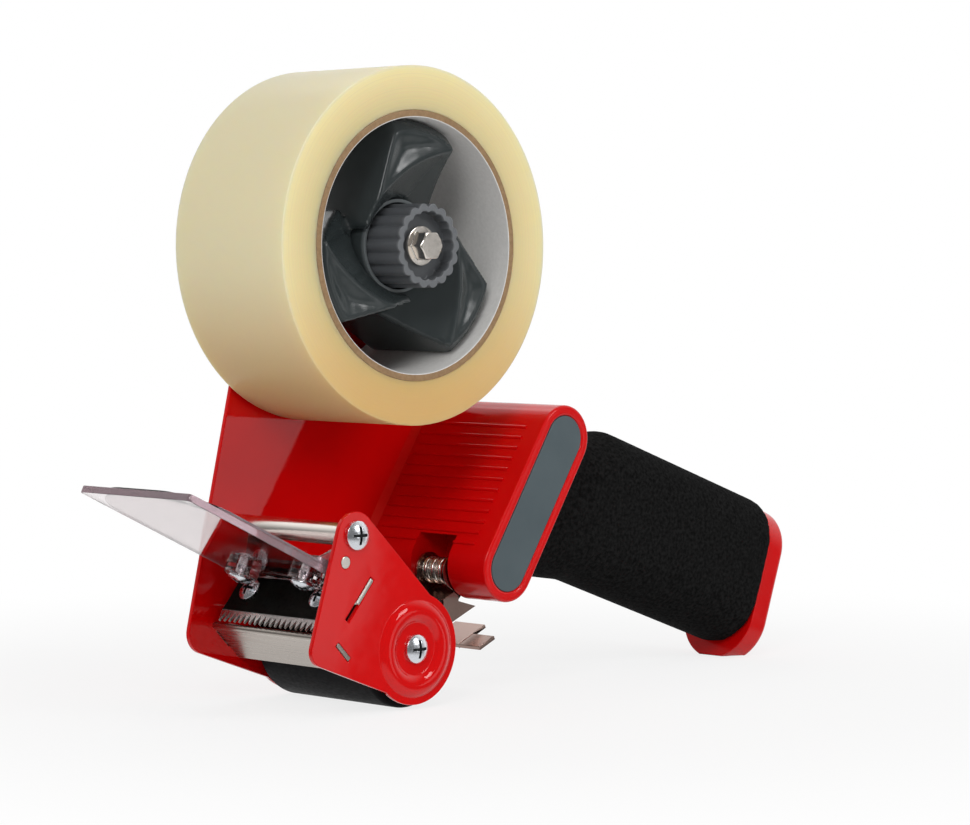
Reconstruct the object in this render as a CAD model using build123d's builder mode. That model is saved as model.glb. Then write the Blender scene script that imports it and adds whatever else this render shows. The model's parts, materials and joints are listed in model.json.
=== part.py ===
"""Hand-held packing-tape dispenser with a loaded roll of tape.

A tall painted side plate carries the tape hub, a tilted handle housing and, with a low near cheek,
the press roller, the guide bar, the tape shield and a sliding cutter blade.  A clear flap in front
swings on two stub pins and pushes the blade out of its slots as it tips up.

Millimetres.  +X runs back to the handle, -Y is the near side with the tension knob, +Z is up.
The origin lies on the floor under the middle of the whole tool.  Places are given as (x, z) pairs
measured from the axis of the tape roll, and y from the middle of the tape.
"""

import os
from math import acos, atan2, ceil, cos, degrees, hypot, pi, radians, sin, sqrt, tan

from build123d import *

os.makedirs("parts", exist_ok=True)

# Tape roll
TAPE_W = 48.0
ROLL_D = 107.0
CORE_BORE = 76.2
CORE_WALL = 2.2

# Fits: a pin running in a hole, faces that pass each other, and a loose sheet-metal tab in its slot
RUN_FIT = 0.05
PASS_GAP = 0.3
SIDE_GAP = 2.0

# Painted side plates
PLATE_T = 1.6
ROLLER_AXLE = (-4.6, -119.6)
LOBE_R = 16.8
LOBE_EDGE_R = 15.5
GUIDE_BAR = (-28.3, -84.4)
GUIDE_BAR_R = 3.4
CHEEK_TOP_R = 7.0
CHEEK_TOE = (-41.0, -117.3)
CHEEK_TOE_R = 4.7
PLATE_TOE = (-40.6, -116.2)
PLATE_TOE_R = 6.6
HUB_BOSS_R = 20.0
RING_OUT_R = 14.5
RING_IN_R = 7.9
RING_H = 1.4

# Press roller
ROLLER_R = 18.0
ROLLER_RUBBER = 5.0
ROLLER_W = 47.0
ROLLER_HUB_R = 6.0
AXLE_R = 3.0
ROLLER_EDGE = 0.8

# Pan-head screws
M4_HEAD_R = 4.3
M4_HEAD_H = 2.4
M4_SHANK_R = 1.95
M4_DEPTH = 9.0
M3_HEAD_R = 3.7
M3_HEAD_H = 2.0
M3_SHANK_R = 1.5
PAN_EDGE = 0.4
CROSS_W = 0.9
CROSS_SHARE = 1.25
CROSS_DEPTH = 1.1

# Hexagon heads: share of the width left flat, and slope of the turned corner
HEX_FACE = 0.95
HEX_SLOPE = 30.0

# Handle housing: a tilted prism with round ends, open towards the side plate
HOUSING_LOW = (33.5, -98.0)
HOUSING_R = 10.5
HOUSING_SPAN = 45.6
HOUSING_LEAN = 32.5
HOUSING_LEN = 55.0
HOUSING_WALL = 2.4
CHAMBER_DEPTH = 19.0
BOSS_R = 4.2
INLAY_RIM = 3.2
INLAY_T = 1.0
INLAY_SINK = 0.2
RIB_COUNT = 12
RIB_PITCH = 3.75
RIB_R = 0.55
RIB_FAR_INSET = 3.0
RIB_NEAR_INSET = 7.0

# Grip: moulded core, foam sleeve and end cap on a line that falls towards the rear
GRIP_TILT = 19.5
GRIP_SEAT = 14.2
GRIP_LEN = 111.0
GRIP_W = 32.0
GRIP_H = 50.0
GRIP_NECK_SEAT = 2.0
GRIP_NECK_H = 43.0
GRIP_NECK_W = 29.0
GRIP_SWELL_AT = 32.0
FOAM_T = 6.0
CORE_SHELL = 3.0
CAP_H = 54.0
CAP_DROP = 3.5
CAP_W = 30.0
CAP_T = 9.0
CAP_ROUND = 2.6
PLUG_LEN = 14.0

# Tape shield under the blade, held by tabs in the short slots
SHIELD_SLOT = (-33.4, -118.2)
SHIELD_FALL = 46.0
SHIELD_UP = 5.4
SHIELD_DOWN = 8.6
SHIELD_T = 1.3
SHIELD_TAB = 6.6
SHIELD_BEAD_R = 1.1
TAB_PLAY = 0.3

# Sliding blade carriage
SLOT_MID = (-26.9, -103.4)
SLOT_RISE = 49.7
SLOT_LEN = 15.5
BLADE_TRAVEL = 6.0
CARRIAGE_T = 1.5
CARRIAGE_TOP = 2.0
CARRIAGE_END = 0.6
SEAT_T = 2.2
SEAT_W = 45.0
SEAT_TOP = 1.0
BLADE_T = 0.8
BLADE_W = 46.0
BLADE_TOP = 7.0
BLADE_ROOT = 19.2
TOOTH_H = 3.2
TOOTH_PITCH = 2.3
BLADE_SCREW_DOWN = 10.9
BLADE_SCREW_Y = 15.8

# Clear flap and its bracket
FLAP_PIVOT = (-32.4, -92.1)
FLAP_PIN_R = 1.8
FLAP_RISE = 25.2
FLAP_DROP = 3.1
FLAP_LEN = 60.0
FLAP_BACK = 6.5
FLAP_W = 50.0
FLAP_T = 2.2
FLAP_CORNER = 1.5
LEAF_T = 0.8
LEAF_LEN = 58.5
LEAF_ROUND = 16.0
BRACKET_T = 1.2
BRACKET_W = 49.0
BRACKET_LEN = 8.0
BRACKET_BACK = 3.5
EAR_R = 3.4
FINGER_W = 12.0
FINGER_GAP = 1.1
FLAP_BOSS_R = 5.2
FLAP_BOSS_H = 2.6
FLAP_BOSS_UP = 1.5
FLAP_BOSS_Y = 14.2

# Anti-rollback lever in the notch of the housing
LEVER_PIVOT = (27.0, -99.8)
LEVER_PIN_R = 2.3
LEVER_T = 1.2
LEVER_EAR_R = 5.4
LEVER_FAR_Y = 0.5
LEVER_W = 12.7
LEVER_BEND_R = 1.4
NOSE_AT = (6.6, -103.4)
NOSE_BEND = (18.6, -104.0)
NOSE_W = 3.5
WEB_FRONT = (21.8, -108.6)
WEB_BACK = (33.6, -103.2)
NEAR_FLANGE = ((21.8, -108.6), (28.0, -105.8), (28.8, -113.1), (21.8, -116.4))
FAR_FLANGE = ((21.8, -108.6), (33.6, -103.2), (38.0, -110.2), (47.0, -112.7), (36.6, -117.1), (36.6, -122.9))
LEG_FRONT = (34.5, -123.9)
TAIL_REAR = (46.2, -118.6)
TAIL_STEP = (41.0, -121.0)
TAIL_FAR_Y = 7.5
TAIL_STEP_Y = -5.8
TAIL_NEAR_Y = -15.1
NOTCH_FAR_Y = 3.7
NOTCH_W = 16.4
NOTCH_HEADROOM = 11.3
NOTCH_BACK = 38.5
PIN_SEAT = 5.0
SPRING_R = 3.9
SPRING_WIRE = 0.55
SPRING_PITCH = 1.0
SPRING_TURNS = 9
SPRING_LEG = 2.6
WIRE_SIDES = 8
GAP_STEP = 0.2

# Tape hub, its spindle and the tension knob.  Heights here run outwards from the middle of the tape.
SPINDLE_R = 5.0
SPINDLE_END = 9.0
SPINDLE_FLANGE_R = 9.0
SPINDLE_FLANGE_T = 1.6
SPINDLE_STUD_R = 4.0
NUT_AF = 13.0
NUT_T = 2.6
HUB_BACK = 23.8
HUB_TUBE_R = 8.0
HUB_TUBE_END = 10.5
HUB_DISC_R = 24.0
HUB_DISC_AT = 20.0
HUB_DISC_T = 2.5
COLLAR_R = 14.1
COLLAR_WALL = 1.2
COLLAR_END = 15.6
COLLAR_FLOOR = 3.0
COLLAR_FLOOR_T = 3.0
VANE_COUNT = 3
VANE_FACE = 21.2
VANE_TIP = 98.0
VANE_ROOT_R = 17.0
VANE_SPLIT = 2.8
VANE_TRAIL = 18.3
VANE_HEEL = 8.5
VANE_CHAMFER = 3.8
VANE_SKIN = 2.4
VANE_POCKET_TOP = 3.0
SCOOP_AT = (22.0, -18.0)
SCOOP_R = 47.0
SCOOP_MID = (35.0, 12.4)
SCOOP_FLOOR = (22.0, 7.2)
KNOB_IN = 13.0
KNOB_RIM = 28.7
KNOB_SEAT = 24.4
KNOB_R = 11.6
KNOB_LOBES = 18
KNOB_LOBE_RING_R = 10.6
KNOB_LOBE_R = 2.05
KNOB_WALL = 2.3
KNOB_POCKET_R = 9.0
KNOB_POCKET_END = 21.6
BOLT_R = 2.45
BOLT_FLANGE_R = 5.9
BOLT_FLANGE_T = 1.3
BOLT_AF = 8.0
BOLT_HEAD_TOP = 30.2
BOLT_END = -10.0
WASHER_T = 1.2
BRAKE_SPRING_R = 6.9
BRAKE_WIRE = 1.2
BRAKE_TURNS = 4

# The roll axis stands this far ahead of the middle of the tool
ROLL_AHEAD = 46.766

# Places that follow from the sizes above
ROLL_H = ROLLER_R - ROLLER_AXLE[1]
INNER_Y = TAPE_W / 2 + SIDE_GAP
OUTER_Y = INNER_Y + PLATE_T
HUB_AXIS = (0.0, 0.0)
LEAN = radians(HOUSING_LEAN)
TILT = radians(GRIP_TILT)
RISE = radians(SLOT_RISE)
FLAP_ANGLE = radians(FLAP_RISE)


def row(place, y=0.0):
    """A point of the tool from its place beside the roll axis and its y."""
    return Vector(place[0] - ROLL_AHEAD, y, place[1] + ROLL_H)


def along(place, direction, distance):
    """The place that lies a distance from another in a given direction of the side view."""
    return (place[0] + direction[0] * distance, place[1] + direction[1] * distance)


def side(y):
    """Side-view plane at y whose normal points to the near side."""
    return Plane(origin=row(HUB_AXIS, y), x_dir=(1, 0, 0), z_dir=(0, -1, 0))


def facing(place, y, outward):
    """Plane square to the Y axis at a place, facing outwards to the near (-1) or far (+1) side."""
    return Plane(origin=row(place, y), x_dir=(1, 0, 0), z_dir=(0, outward, 0))


def sloping(place, y, normal):
    """Plane across the tool through a place, square to a direction of the side view."""
    return Plane(origin=row(place, y), x_dir=(0, 1, 0), z_dir=(normal[0], 0, normal[1]))


def half_section(plane):
    """Plane for turning a profile about another plane's normal: radius across, height up."""
    return Plane(origin=plane.origin, x_dir=plane.x_dir, z_dir=-plane.y_dir)


def turning_axis(plane):
    """The normal of a plane as an axis."""
    return Axis(plane.origin, plane.z_dir)


def disc(place, radius):
    """Round spot in the current sketch."""
    with Locations(place):
        Circle(radius)


def ring(plane, inner, outer, low, high):
    """Turned ring about a plane's normal."""
    with BuildPart() as turned:
        with BuildSketch(half_section(plane)):
            with Locations(((inner + outer) / 2, (low + high) / 2)):
                Rectangle(outer - inner, high - low)
        revolve(axis=turning_axis(plane))
    return turned.part


def pan_screw(plane, head_r, head_h, shank_r, depth):
    """Pan-head screw with a cross recess, its head standing on the plane."""
    edge_h = head_h * PAN_EDGE
    with BuildPart() as screw:
        with BuildSketch(half_section(plane)):
            with BuildLine():
                Polyline((0, head_h), (0, -depth), (shank_r, -depth), (shank_r, 0), (head_r, 0), (head_r, edge_h))
                TangentArc((0, head_h), (head_r, edge_h), tangent=(1, 0))
            make_face()
        revolve(axis=turning_axis(plane))
        with BuildSketch(plane.offset(head_h)):
            Rectangle(head_r * CROSS_SHARE, CROSS_W)
            Rectangle(CROSS_W, head_r * CROSS_SHARE)
        extrude(amount=-CROSS_DEPTH, mode=Mode.SUBTRACT)
    return screw.part


def hexagon(plane, across, low, high):
    """Hexagon prism whose corners are turned away at the outer end."""
    corner = across / sqrt(3)
    flat = across / 2 * HEX_FACE
    drop = (corner - flat) * tan(radians(HEX_SLOPE))
    with BuildPart() as head:
        with BuildSketch(plane.offset(low)):
            RegularPolygon(across / 2, 6, major_radius=False)
        extrude(amount=high - low)
        with BuildSketch(half_section(plane)):
            with BuildLine():
                Polyline((0, low), (corner, low), (corner, high - drop), (flat, high), (0, high), close=True)
            make_face()
        revolve(axis=turning_axis(plane), mode=Mode.INTERSECT)
    return head.part


def coil(place, radius, start_y, pitch, turns, leg):
    """Centre line of a coil about a Y axis, as pairs of arcs for each quarter turn, with straight legs."""
    climb = -pitch / (2 * pi)

    def point(angle):
        return row((place[0] + radius * cos(angle), place[1] + radius * sin(angle)), start_y + climb * angle)

    def heading(angle):
        return Vector(-radius * sin(angle), climb, radius * cos(angle)).normalized()

    quarters = [quarter * pi / 2 for quarter in range(4 * turns + 1)]
    Line(point(0) - heading(0) * leg, point(0))
    for first, last in zip(quarters, quarters[1:]):
        begin, end, out, into = point(first), point(last), heading(first), heading(last)
        chord = end - begin
        spread = 2 * (1 - out.dot(into))
        run = chord.dot(out + into)
        reach = (sqrt(run**2 + spread * chord.dot(chord)) - run) / spread
        joint = (begin + end + (out - into) * reach) / 2
        TangentArc(begin, joint, tangent=out)
        TangentArc(joint, end, tangent=(end - into * reach) - (begin + out * reach))
    Line(point(quarters[-1]), point(quarters[-1]) + heading(quarters[-1]) * leg)


def spring_gap(path, radius, wire):
    """Least clear gap of a coil to itself, on points of its line half to one and a half turns apart."""
    steps = ceil(path.length / GAP_STEP)
    points = [path @ (step / steps) for step in range(steps + 1)]
    half_turn = ceil(pi * radius / GAP_STEP)
    gaps = [
        (other - point).length
        for first, point in enumerate(points)
        for other in points[first + half_turn : first + 3 * half_turn]
    ]
    return min(gaps) - wire


# Side plates

SLIDE = (-cos(RISE), -sin(RISE))
SLIDE_FACE = (-sin(RISE), cos(RISE))
SLOT_TOP = along(SLOT_MID, SLIDE, -SLOT_LEN / 2)
HOUSING_UP = (sin(LEAN), cos(LEAN))
HOUSING_BACK = (cos(LEAN), -sin(LEAN))
HOUSING_MID = along(HOUSING_LOW, HOUSING_UP, HOUSING_SPAN / 2)
HOUSING_TOP = along(HOUSING_LOW, HOUSING_UP, HOUSING_SPAN)
SLOT_W = CARRIAGE_T + TAB_PLAY
SHIELD_SLOT_W = SHIELD_T + TAB_PLAY


def plate_openings():
    """Holes that both side plates share: axle, bar, flap pin, blade slot and shield slot."""
    with Locations(ROLLER_AXLE, GUIDE_BAR):
        Circle(M4_SHANK_R + RUN_FIT, mode=Mode.SUBTRACT)
    with Locations(FLAP_PIVOT):
        Circle(FLAP_PIN_R + RUN_FIT, mode=Mode.SUBTRACT)
    with Locations(SLOT_MID):
        Rectangle(SLOT_LEN, SLOT_W, rotation=SLOT_RISE, mode=Mode.SUBTRACT)
    with Locations(SHIELD_SLOT):
        Rectangle(SHIELD_TAB + TAB_PLAY, SHIELD_SLOT_W, rotation=-SHIELD_FALL, mode=Mode.SUBTRACT)


def axle_ring(outward, depth, narrow):
    """Round-topped ring around the roller axle, from a depth in the plate, narrower by a margin each side."""
    face = facing(ROLLER_AXLE, outward * OUTER_Y, outward)
    low_r = RING_IN_R + narrow
    high_r = RING_OUT_R - narrow
    crown = ((low_r + high_r) / 2, RING_H - depth)
    with BuildPart() as raised:
        with BuildSketch(half_section(face)):
            with BuildLine():
                ThreePointArc((low_r, -depth), crown, (high_r, -depth))
                Polyline((high_r, -depth), (high_r, -PLATE_T), (low_r, -PLATE_T), (low_r, -depth))
            make_face()
        revolve(axis=turning_axis(face))
    return raised.part


with BuildPart() as near_cheek:
    with BuildSketch(side(-INNER_Y)):
        disc(GUIDE_BAR, CHEEK_TOP_R)
        disc(CHEEK_TOE, CHEEK_TOE_R)
        disc(ROLLER_AXLE, LOBE_EDGE_R)
        make_hull()
        disc(ROLLER_AXLE, LOBE_R)
        plate_openings()
    extrude(amount=PLATE_T)
    add(axle_ring(-1, 0, 0))
    add(axle_ring(-1, PLATE_T / 2, PLATE_T / 2), mode=Mode.SUBTRACT)
near_cheek.part.label = "near_cheek"
export_step(near_cheek.part, "parts/near_cheek.step")

with BuildPart() as side_plate:
    with BuildSketch(side(OUTER_Y)):
        disc(HUB_AXIS, HUB_BOSS_R)
        disc(PLATE_TOE, PLATE_TOE_R)
        disc(ROLLER_AXLE, LOBE_EDGE_R)
        disc(HOUSING_TOP, HOUSING_R)
        disc(HOUSING_LOW, HOUSING_R)
        make_hull()
        disc(ROLLER_AXLE, LOBE_R)
        plate_openings()
        with Locations(HOUSING_TOP, HOUSING_LOW):
            Circle(M4_SHANK_R + RUN_FIT, mode=Mode.SUBTRACT)
        with Locations(HUB_AXIS):
            Circle(SPINDLE_STUD_R + RUN_FIT, mode=Mode.SUBTRACT)
    extrude(amount=PLATE_T)
    add(axle_ring(1, 0, 0))
    add(axle_ring(1, PLATE_T / 2, PLATE_T / 2), mode=Mode.SUBTRACT)
side_plate.part.label = "side_plate"
export_step(side_plate.part, "parts/side_plate.step")


# Guide bar and press roller

def cross_rod(place, radius, half_length):
    """Rod from plate to plate with a threaded hole in each end."""
    with BuildPart() as rod:
        with BuildSketch(side(half_length)):
            disc(place, radius)
        extrude(amount=2 * half_length)
        for outward in (-1, 1):
            with BuildSketch(facing(place, outward * half_length, outward)):
                Circle(M4_SHANK_R + RUN_FIT)
            extrude(amount=-M4_DEPTH, mode=Mode.SUBTRACT)
    return rod.part


def end_screw(place, outward):
    """Screw through a side plate into the end of a rod."""
    return pan_screw(facing(place, outward * OUTER_Y, outward), M4_HEAD_R, M4_HEAD_H, M4_SHANK_R, M4_DEPTH)


with BuildPart() as guide_bar:
    add(cross_rod(GUIDE_BAR, GUIDE_BAR_R, INNER_Y))
guide_bar.part.label = "guide_bar"
export_step(guide_bar.part, "parts/guide_bar.step")

with BuildPart() as guide_bar_screws:
    for outward in (-1, 1):
        add(end_screw(GUIDE_BAR, outward))
guide_bar_screws.part.label = "guide_bar_screws"
export_step(guide_bar_screws.part, "parts/guide_bar_screws.step")

with BuildPart() as roller_axle:
    add(cross_rod(ROLLER_AXLE, AXLE_R, INNER_Y))
roller_axle.part.label = "roller_axle"
export_step(roller_axle.part, "parts/roller_axle.step")

with BuildPart() as roller_axle_screws:
    for outward in (-1, 1):
        add(end_screw(ROLLER_AXLE, outward))
roller_axle_screws.part.label = "roller_axle_screws"
export_step(roller_axle_screws.part, "parts/roller_axle_screws.step")

ROLLER_MID = facing(ROLLER_AXLE, 0, -1)

with BuildPart() as roller_core:
    add(ring(ROLLER_MID, AXLE_R + RUN_FIT, ROLLER_R - ROLLER_RUBBER, -ROLLER_W / 2, ROLLER_W / 2))
    add(ring(ROLLER_MID, AXLE_R + RUN_FIT, ROLLER_HUB_R, PASS_GAP - INNER_Y, INNER_Y - PASS_GAP))
roller_core.part.label = "roller_core"
export_step(roller_core.part, "parts/roller_core.step")

with BuildPart() as roller_sleeve:
    add(ring(ROLLER_MID, ROLLER_R - ROLLER_RUBBER, ROLLER_R, -ROLLER_W / 2, ROLLER_W / 2))
    fillet(roller_sleeve.edges().filter_by(GeomType.CIRCLE).group_by(SortBy.RADIUS)[-1], ROLLER_EDGE)
roller_sleeve.part.label = "roller_sleeve"
export_step(roller_sleeve.part, "parts/roller_sleeve.step")


# Tape shield: a sloping sheet with a rolled upper edge, tabbed into both plates

SHIELD_DIR = (-cos(radians(SHIELD_FALL)), sin(radians(SHIELD_FALL)))
SHIELD_TOP = along(SHIELD_SLOT, SHIELD_DIR, SHIELD_UP)
SHIELD_MID = along(SHIELD_SLOT, SHIELD_DIR, (SHIELD_UP - SHIELD_DOWN) / 2)

with BuildPart() as tape_shield:
    with BuildSketch(side(INNER_Y)):
        with Locations(SHIELD_MID):
            Rectangle(SHIELD_UP + SHIELD_DOWN, SHIELD_T, rotation=-SHIELD_FALL)
        disc(SHIELD_TOP, SHIELD_BEAD_R)
    extrude(amount=2 * INNER_Y)
    with BuildSketch(side(OUTER_Y)):
        with Locations(SHIELD_SLOT):
            Rectangle(SHIELD_TAB, SHIELD_T, rotation=-SHIELD_FALL)
    extrude(amount=2 * OUTER_Y)
tape_shield.part.label = "tape_shield"
export_step(tape_shield.part, "parts/tape_shield.step")


# Blade carriage, its black seat, blade and screws, drawn across the tool (x) and down the slide (y)

TAB_LEN = SLOT_LEN - BLADE_TRAVEL - 2 * PASS_GAP
SEAT_FACE = CARRIAGE_T / 2 + SEAT_T
CARRIAGE_LEN = SLOT_LEN - CARRIAGE_END + CARRIAGE_TOP
SEAT_LEN = SLOT_LEN - CARRIAGE_END - SEAT_TOP
TOOTH_COUNT = int(BLADE_W / TOOTH_PITCH)


def slide_plane(height):
    """Plane of the slide at a height in front of the middle of the slot."""
    return sloping(along(SLOT_TOP, SLIDE_FACE, height), 0, SLIDE_FACE)


def blade_screw_places():
    """The two blade screws, side by side."""
    return Locations((-BLADE_SCREW_Y, BLADE_SCREW_DOWN), (BLADE_SCREW_Y, BLADE_SCREW_DOWN))


with BuildPart() as blade_carriage:
    with BuildSketch(slide_plane(-CARRIAGE_T / 2)):
        with Locations((0, CARRIAGE_LEN / 2 - CARRIAGE_TOP)):
            Rectangle(2 * (INNER_Y - PASS_GAP), CARRIAGE_LEN)
        with Locations((0, PASS_GAP + TAB_LEN / 2)):
            Rectangle(2 * OUTER_Y, TAB_LEN)
        with blade_screw_places():
            Circle(M3_SHANK_R + RUN_FIT, mode=Mode.SUBTRACT)
    extrude(amount=CARRIAGE_T)
blade_carriage.part.label = "blade_carriage"
export_step(blade_carriage.part, "parts/blade_carriage.step")

with BuildPart() as blade_seat:
    with BuildSketch(slide_plane(CARRIAGE_T / 2)):
        with Locations((0, SEAT_TOP + SEAT_LEN / 2)):
            Rectangle(SEAT_W, SEAT_LEN)
        with blade_screw_places():
            Circle(M3_SHANK_R + RUN_FIT, mode=Mode.SUBTRACT)
    extrude(amount=SEAT_T)
blade_seat.part.label = "blade_seat"
export_step(blade_seat.part, "parts/blade_seat.step")

with BuildPart() as cutter_blade:
    with BuildSketch(slide_plane(SEAT_FACE)):
        with Locations((0, (BLADE_TOP + BLADE_ROOT) / 2)):
            Rectangle(BLADE_W, BLADE_ROOT - BLADE_TOP)
        with Locations((0, BLADE_ROOT)):
            with GridLocations(TOOTH_PITCH, 1, TOOTH_COUNT, 1):
                Polygon((-TOOTH_PITCH / 2, 0), (TOOTH_PITCH / 2, 0), (0, TOOTH_H), align=None)
        with blade_screw_places():
            Circle(M3_SHANK_R + RUN_FIT, mode=Mode.SUBTRACT)
    extrude(amount=BLADE_T)
cutter_blade.part.label = "cutter_blade"
export_step(cutter_blade.part, "parts/cutter_blade.step")

with BuildPart() as blade_screws:
    for across in (-BLADE_SCREW_Y, BLADE_SCREW_Y):
        seat = along(along(SLOT_TOP, SLIDE, BLADE_SCREW_DOWN), SLIDE_FACE, SEAT_FACE + BLADE_T)
        screw_depth = BLADE_T + SEAT_T + CARRIAGE_T
        add(pan_screw(sloping(seat, across, SLIDE_FACE), M3_HEAD_R, M3_HEAD_H, M3_SHANK_R, screw_depth))
blade_screws.part.label = "blade_screws"
export_step(blade_screws.part, "parts/blade_screws.step")


# Clear flap, drawn across the tool (x) and forwards up its slope (y) from under the pivot

FLAP_FORWARD = (-cos(FLAP_ANGLE), sin(FLAP_ANGLE))
FLAP_UP = (sin(FLAP_ANGLE), cos(FLAP_ANGLE))
BRACKET_BASE = LEAF_T - FLAP_DROP
EAR_MID = along(FLAP_PIVOT, FLAP_UP, BRACKET_BASE + EAR_R)
PIN_LEN = OUTER_Y - BRACKET_W / 2 + BRACKET_T


def flap_plane(height):
    """Plane of the flap at a height over its pivot."""
    return sloping(along(FLAP_PIVOT, FLAP_UP, height), 0, FLAP_UP)


def flap_screw_places():
    """The two flap screws, side by side."""
    return Locations((-FLAP_BOSS_Y, FLAP_BOSS_UP), (FLAP_BOSS_Y, FLAP_BOSS_UP))


def flap_drills():
    """Clearance holes for the flap screws, right through the stack of flap, leaf and bracket."""
    with BuildPart() as drilled:
        with BuildSketch(flap_plane(0)):
            with flap_screw_places():
                Circle(M3_SHANK_R + RUN_FIT)
        extrude(amount=-(FLAP_DROP + FLAP_T + FLAP_BOSS_H))
    return drilled.part


with BuildPart() as flap:
    with BuildSketch(flap_plane(-FLAP_DROP)):
        with Locations((0, (FLAP_LEN - FLAP_BACK) / 2)):
            RectangleRounded(FLAP_W, FLAP_LEN + FLAP_BACK, FLAP_CORNER)
    extrude(amount=-FLAP_T)
    with BuildSketch(flap_plane(-FLAP_DROP - FLAP_T)):
        with flap_screw_places():
            Circle(FLAP_BOSS_R)
    extrude(amount=-FLAP_BOSS_H)
    add(flap_drills(), mode=Mode.SUBTRACT)
flap.part.label = "flap"
export_step(flap.part, "parts/flap.step")

with BuildPart() as flap_leaf:
    with BuildSketch(flap_plane(-FLAP_DROP)) as leaf_outline:
        with Locations((0, (LEAF_LEN - FLAP_BACK) / 2)):
            Rectangle(FLAP_W, LEAF_LEN + FLAP_BACK)
        fillet(leaf_outline.vertices().group_by(Axis.Y)[-1], LEAF_ROUND)
    extrude(amount=LEAF_T)
    add(flap_drills(), mode=Mode.SUBTRACT)
flap_leaf.part.label = "flap_leaf"
export_step(flap_leaf.part, "parts/flap_leaf.step")

FINGER_ROOT = along(FLAP_PIVOT, FLAP_UP, BRACKET_BASE + BRACKET_T / 2)
FINGER_TIP = along(SLOT_TOP, SLIDE, -(CARRIAGE_TOP + FINGER_GAP + BRACKET_T / 2))
FINGER_RUN = (FINGER_TIP[0] - FINGER_ROOT[0], FINGER_TIP[1] - FINGER_ROOT[1])

with BuildPart() as flap_bracket:
    with BuildSketch(flap_plane(BRACKET_BASE)):
        with Locations((0, (BRACKET_LEN - BRACKET_BACK) / 2)):
            Rectangle(BRACKET_W, BRACKET_LEN + BRACKET_BACK)
    extrude(amount=BRACKET_T)
    add(flap_drills(), mode=Mode.SUBTRACT)
    for ear_y in (BRACKET_W / 2, BRACKET_T - BRACKET_W / 2):
        with BuildSketch(side(ear_y)):
            disc(EAR_MID, EAR_R)
            disc(along(FINGER_ROOT, FLAP_FORWARD, -BRACKET_BACK), BRACKET_T / 2)
            disc(along(FINGER_ROOT, FLAP_FORWARD, 2 * EAR_R), BRACKET_T / 2)
            make_hull()
        extrude(amount=BRACKET_T)
    with BuildSketch(side(FINGER_W / 2)):
        with Locations(along(FINGER_ROOT, FINGER_RUN, 0.5)):
            Rectangle(hypot(*FINGER_RUN), BRACKET_T, rotation=degrees(atan2(FINGER_RUN[1], FINGER_RUN[0])))
        disc(FINGER_TIP, BRACKET_T / 2)
        disc(FINGER_ROOT, BRACKET_T / 2)
    extrude(amount=FINGER_W)
    for outward in (-1, 1):
        with BuildSketch(facing(FLAP_PIVOT, outward * BRACKET_W / 2, outward)):
            Circle(FLAP_PIN_R)
        extrude(amount=-BRACKET_T, mode=Mode.SUBTRACT)
flap_bracket.part.label = "flap_bracket"
export_step(flap_bracket.part, "parts/flap_bracket.step")

with BuildPart() as flap_pins:
    for outward in (-1, 1):
        with BuildSketch(facing(FLAP_PIVOT, outward * OUTER_Y, outward)):
            Circle(FLAP_PIN_R)
        extrude(amount=-PIN_LEN)
flap_pins.part.label = "flap_pins"
export_step(flap_pins.part, "parts/flap_pins.step")

with BuildPart() as flap_screws:
    boss_end = -FLAP_DROP - FLAP_T - FLAP_BOSS_H
    for across in (-FLAP_BOSS_Y, FLAP_BOSS_Y):
        seat = along(along(FLAP_PIVOT, FLAP_UP, boss_end), FLAP_FORWARD, FLAP_BOSS_UP)
        down = (-FLAP_UP[0], -FLAP_UP[1])
        screw_depth = FLAP_BOSS_H + FLAP_T + LEAF_T + BRACKET_T
        add(pan_screw(sloping(seat, across, down), M3_HEAD_R, M3_HEAD_H, M3_SHANK_R, screw_depth))
flap_screws.part.label = "flap_screws"
export_step(flap_screws.part, "parts/flap_screws.step")


# Handle housing and its inlay

HOUSING_NEAR = INNER_Y - HOUSING_LEN
HOUSING_FRONT = (-HOUSING_BACK[0], -HOUSING_BACK[1])
FIRST_RIB = (HOUSING_SPAN - (RIB_COUNT - 1) * RIB_PITCH) / 2


def housing_outline(shrink):
    """Round-ended section of the housing, drawn smaller by a margin."""
    disc(HOUSING_LOW, HOUSING_R - shrink)
    disc(HOUSING_TOP, HOUSING_R - shrink)
    make_hull()


def rib_places():
    """Rib centres up the front face of the housing."""
    foot = along(HOUSING_LOW, HOUSING_FRONT, HOUSING_R)
    return [along(foot, HOUSING_UP, FIRST_RIB + RIB_PITCH * rib) for rib in range(RIB_COUNT)]


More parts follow.
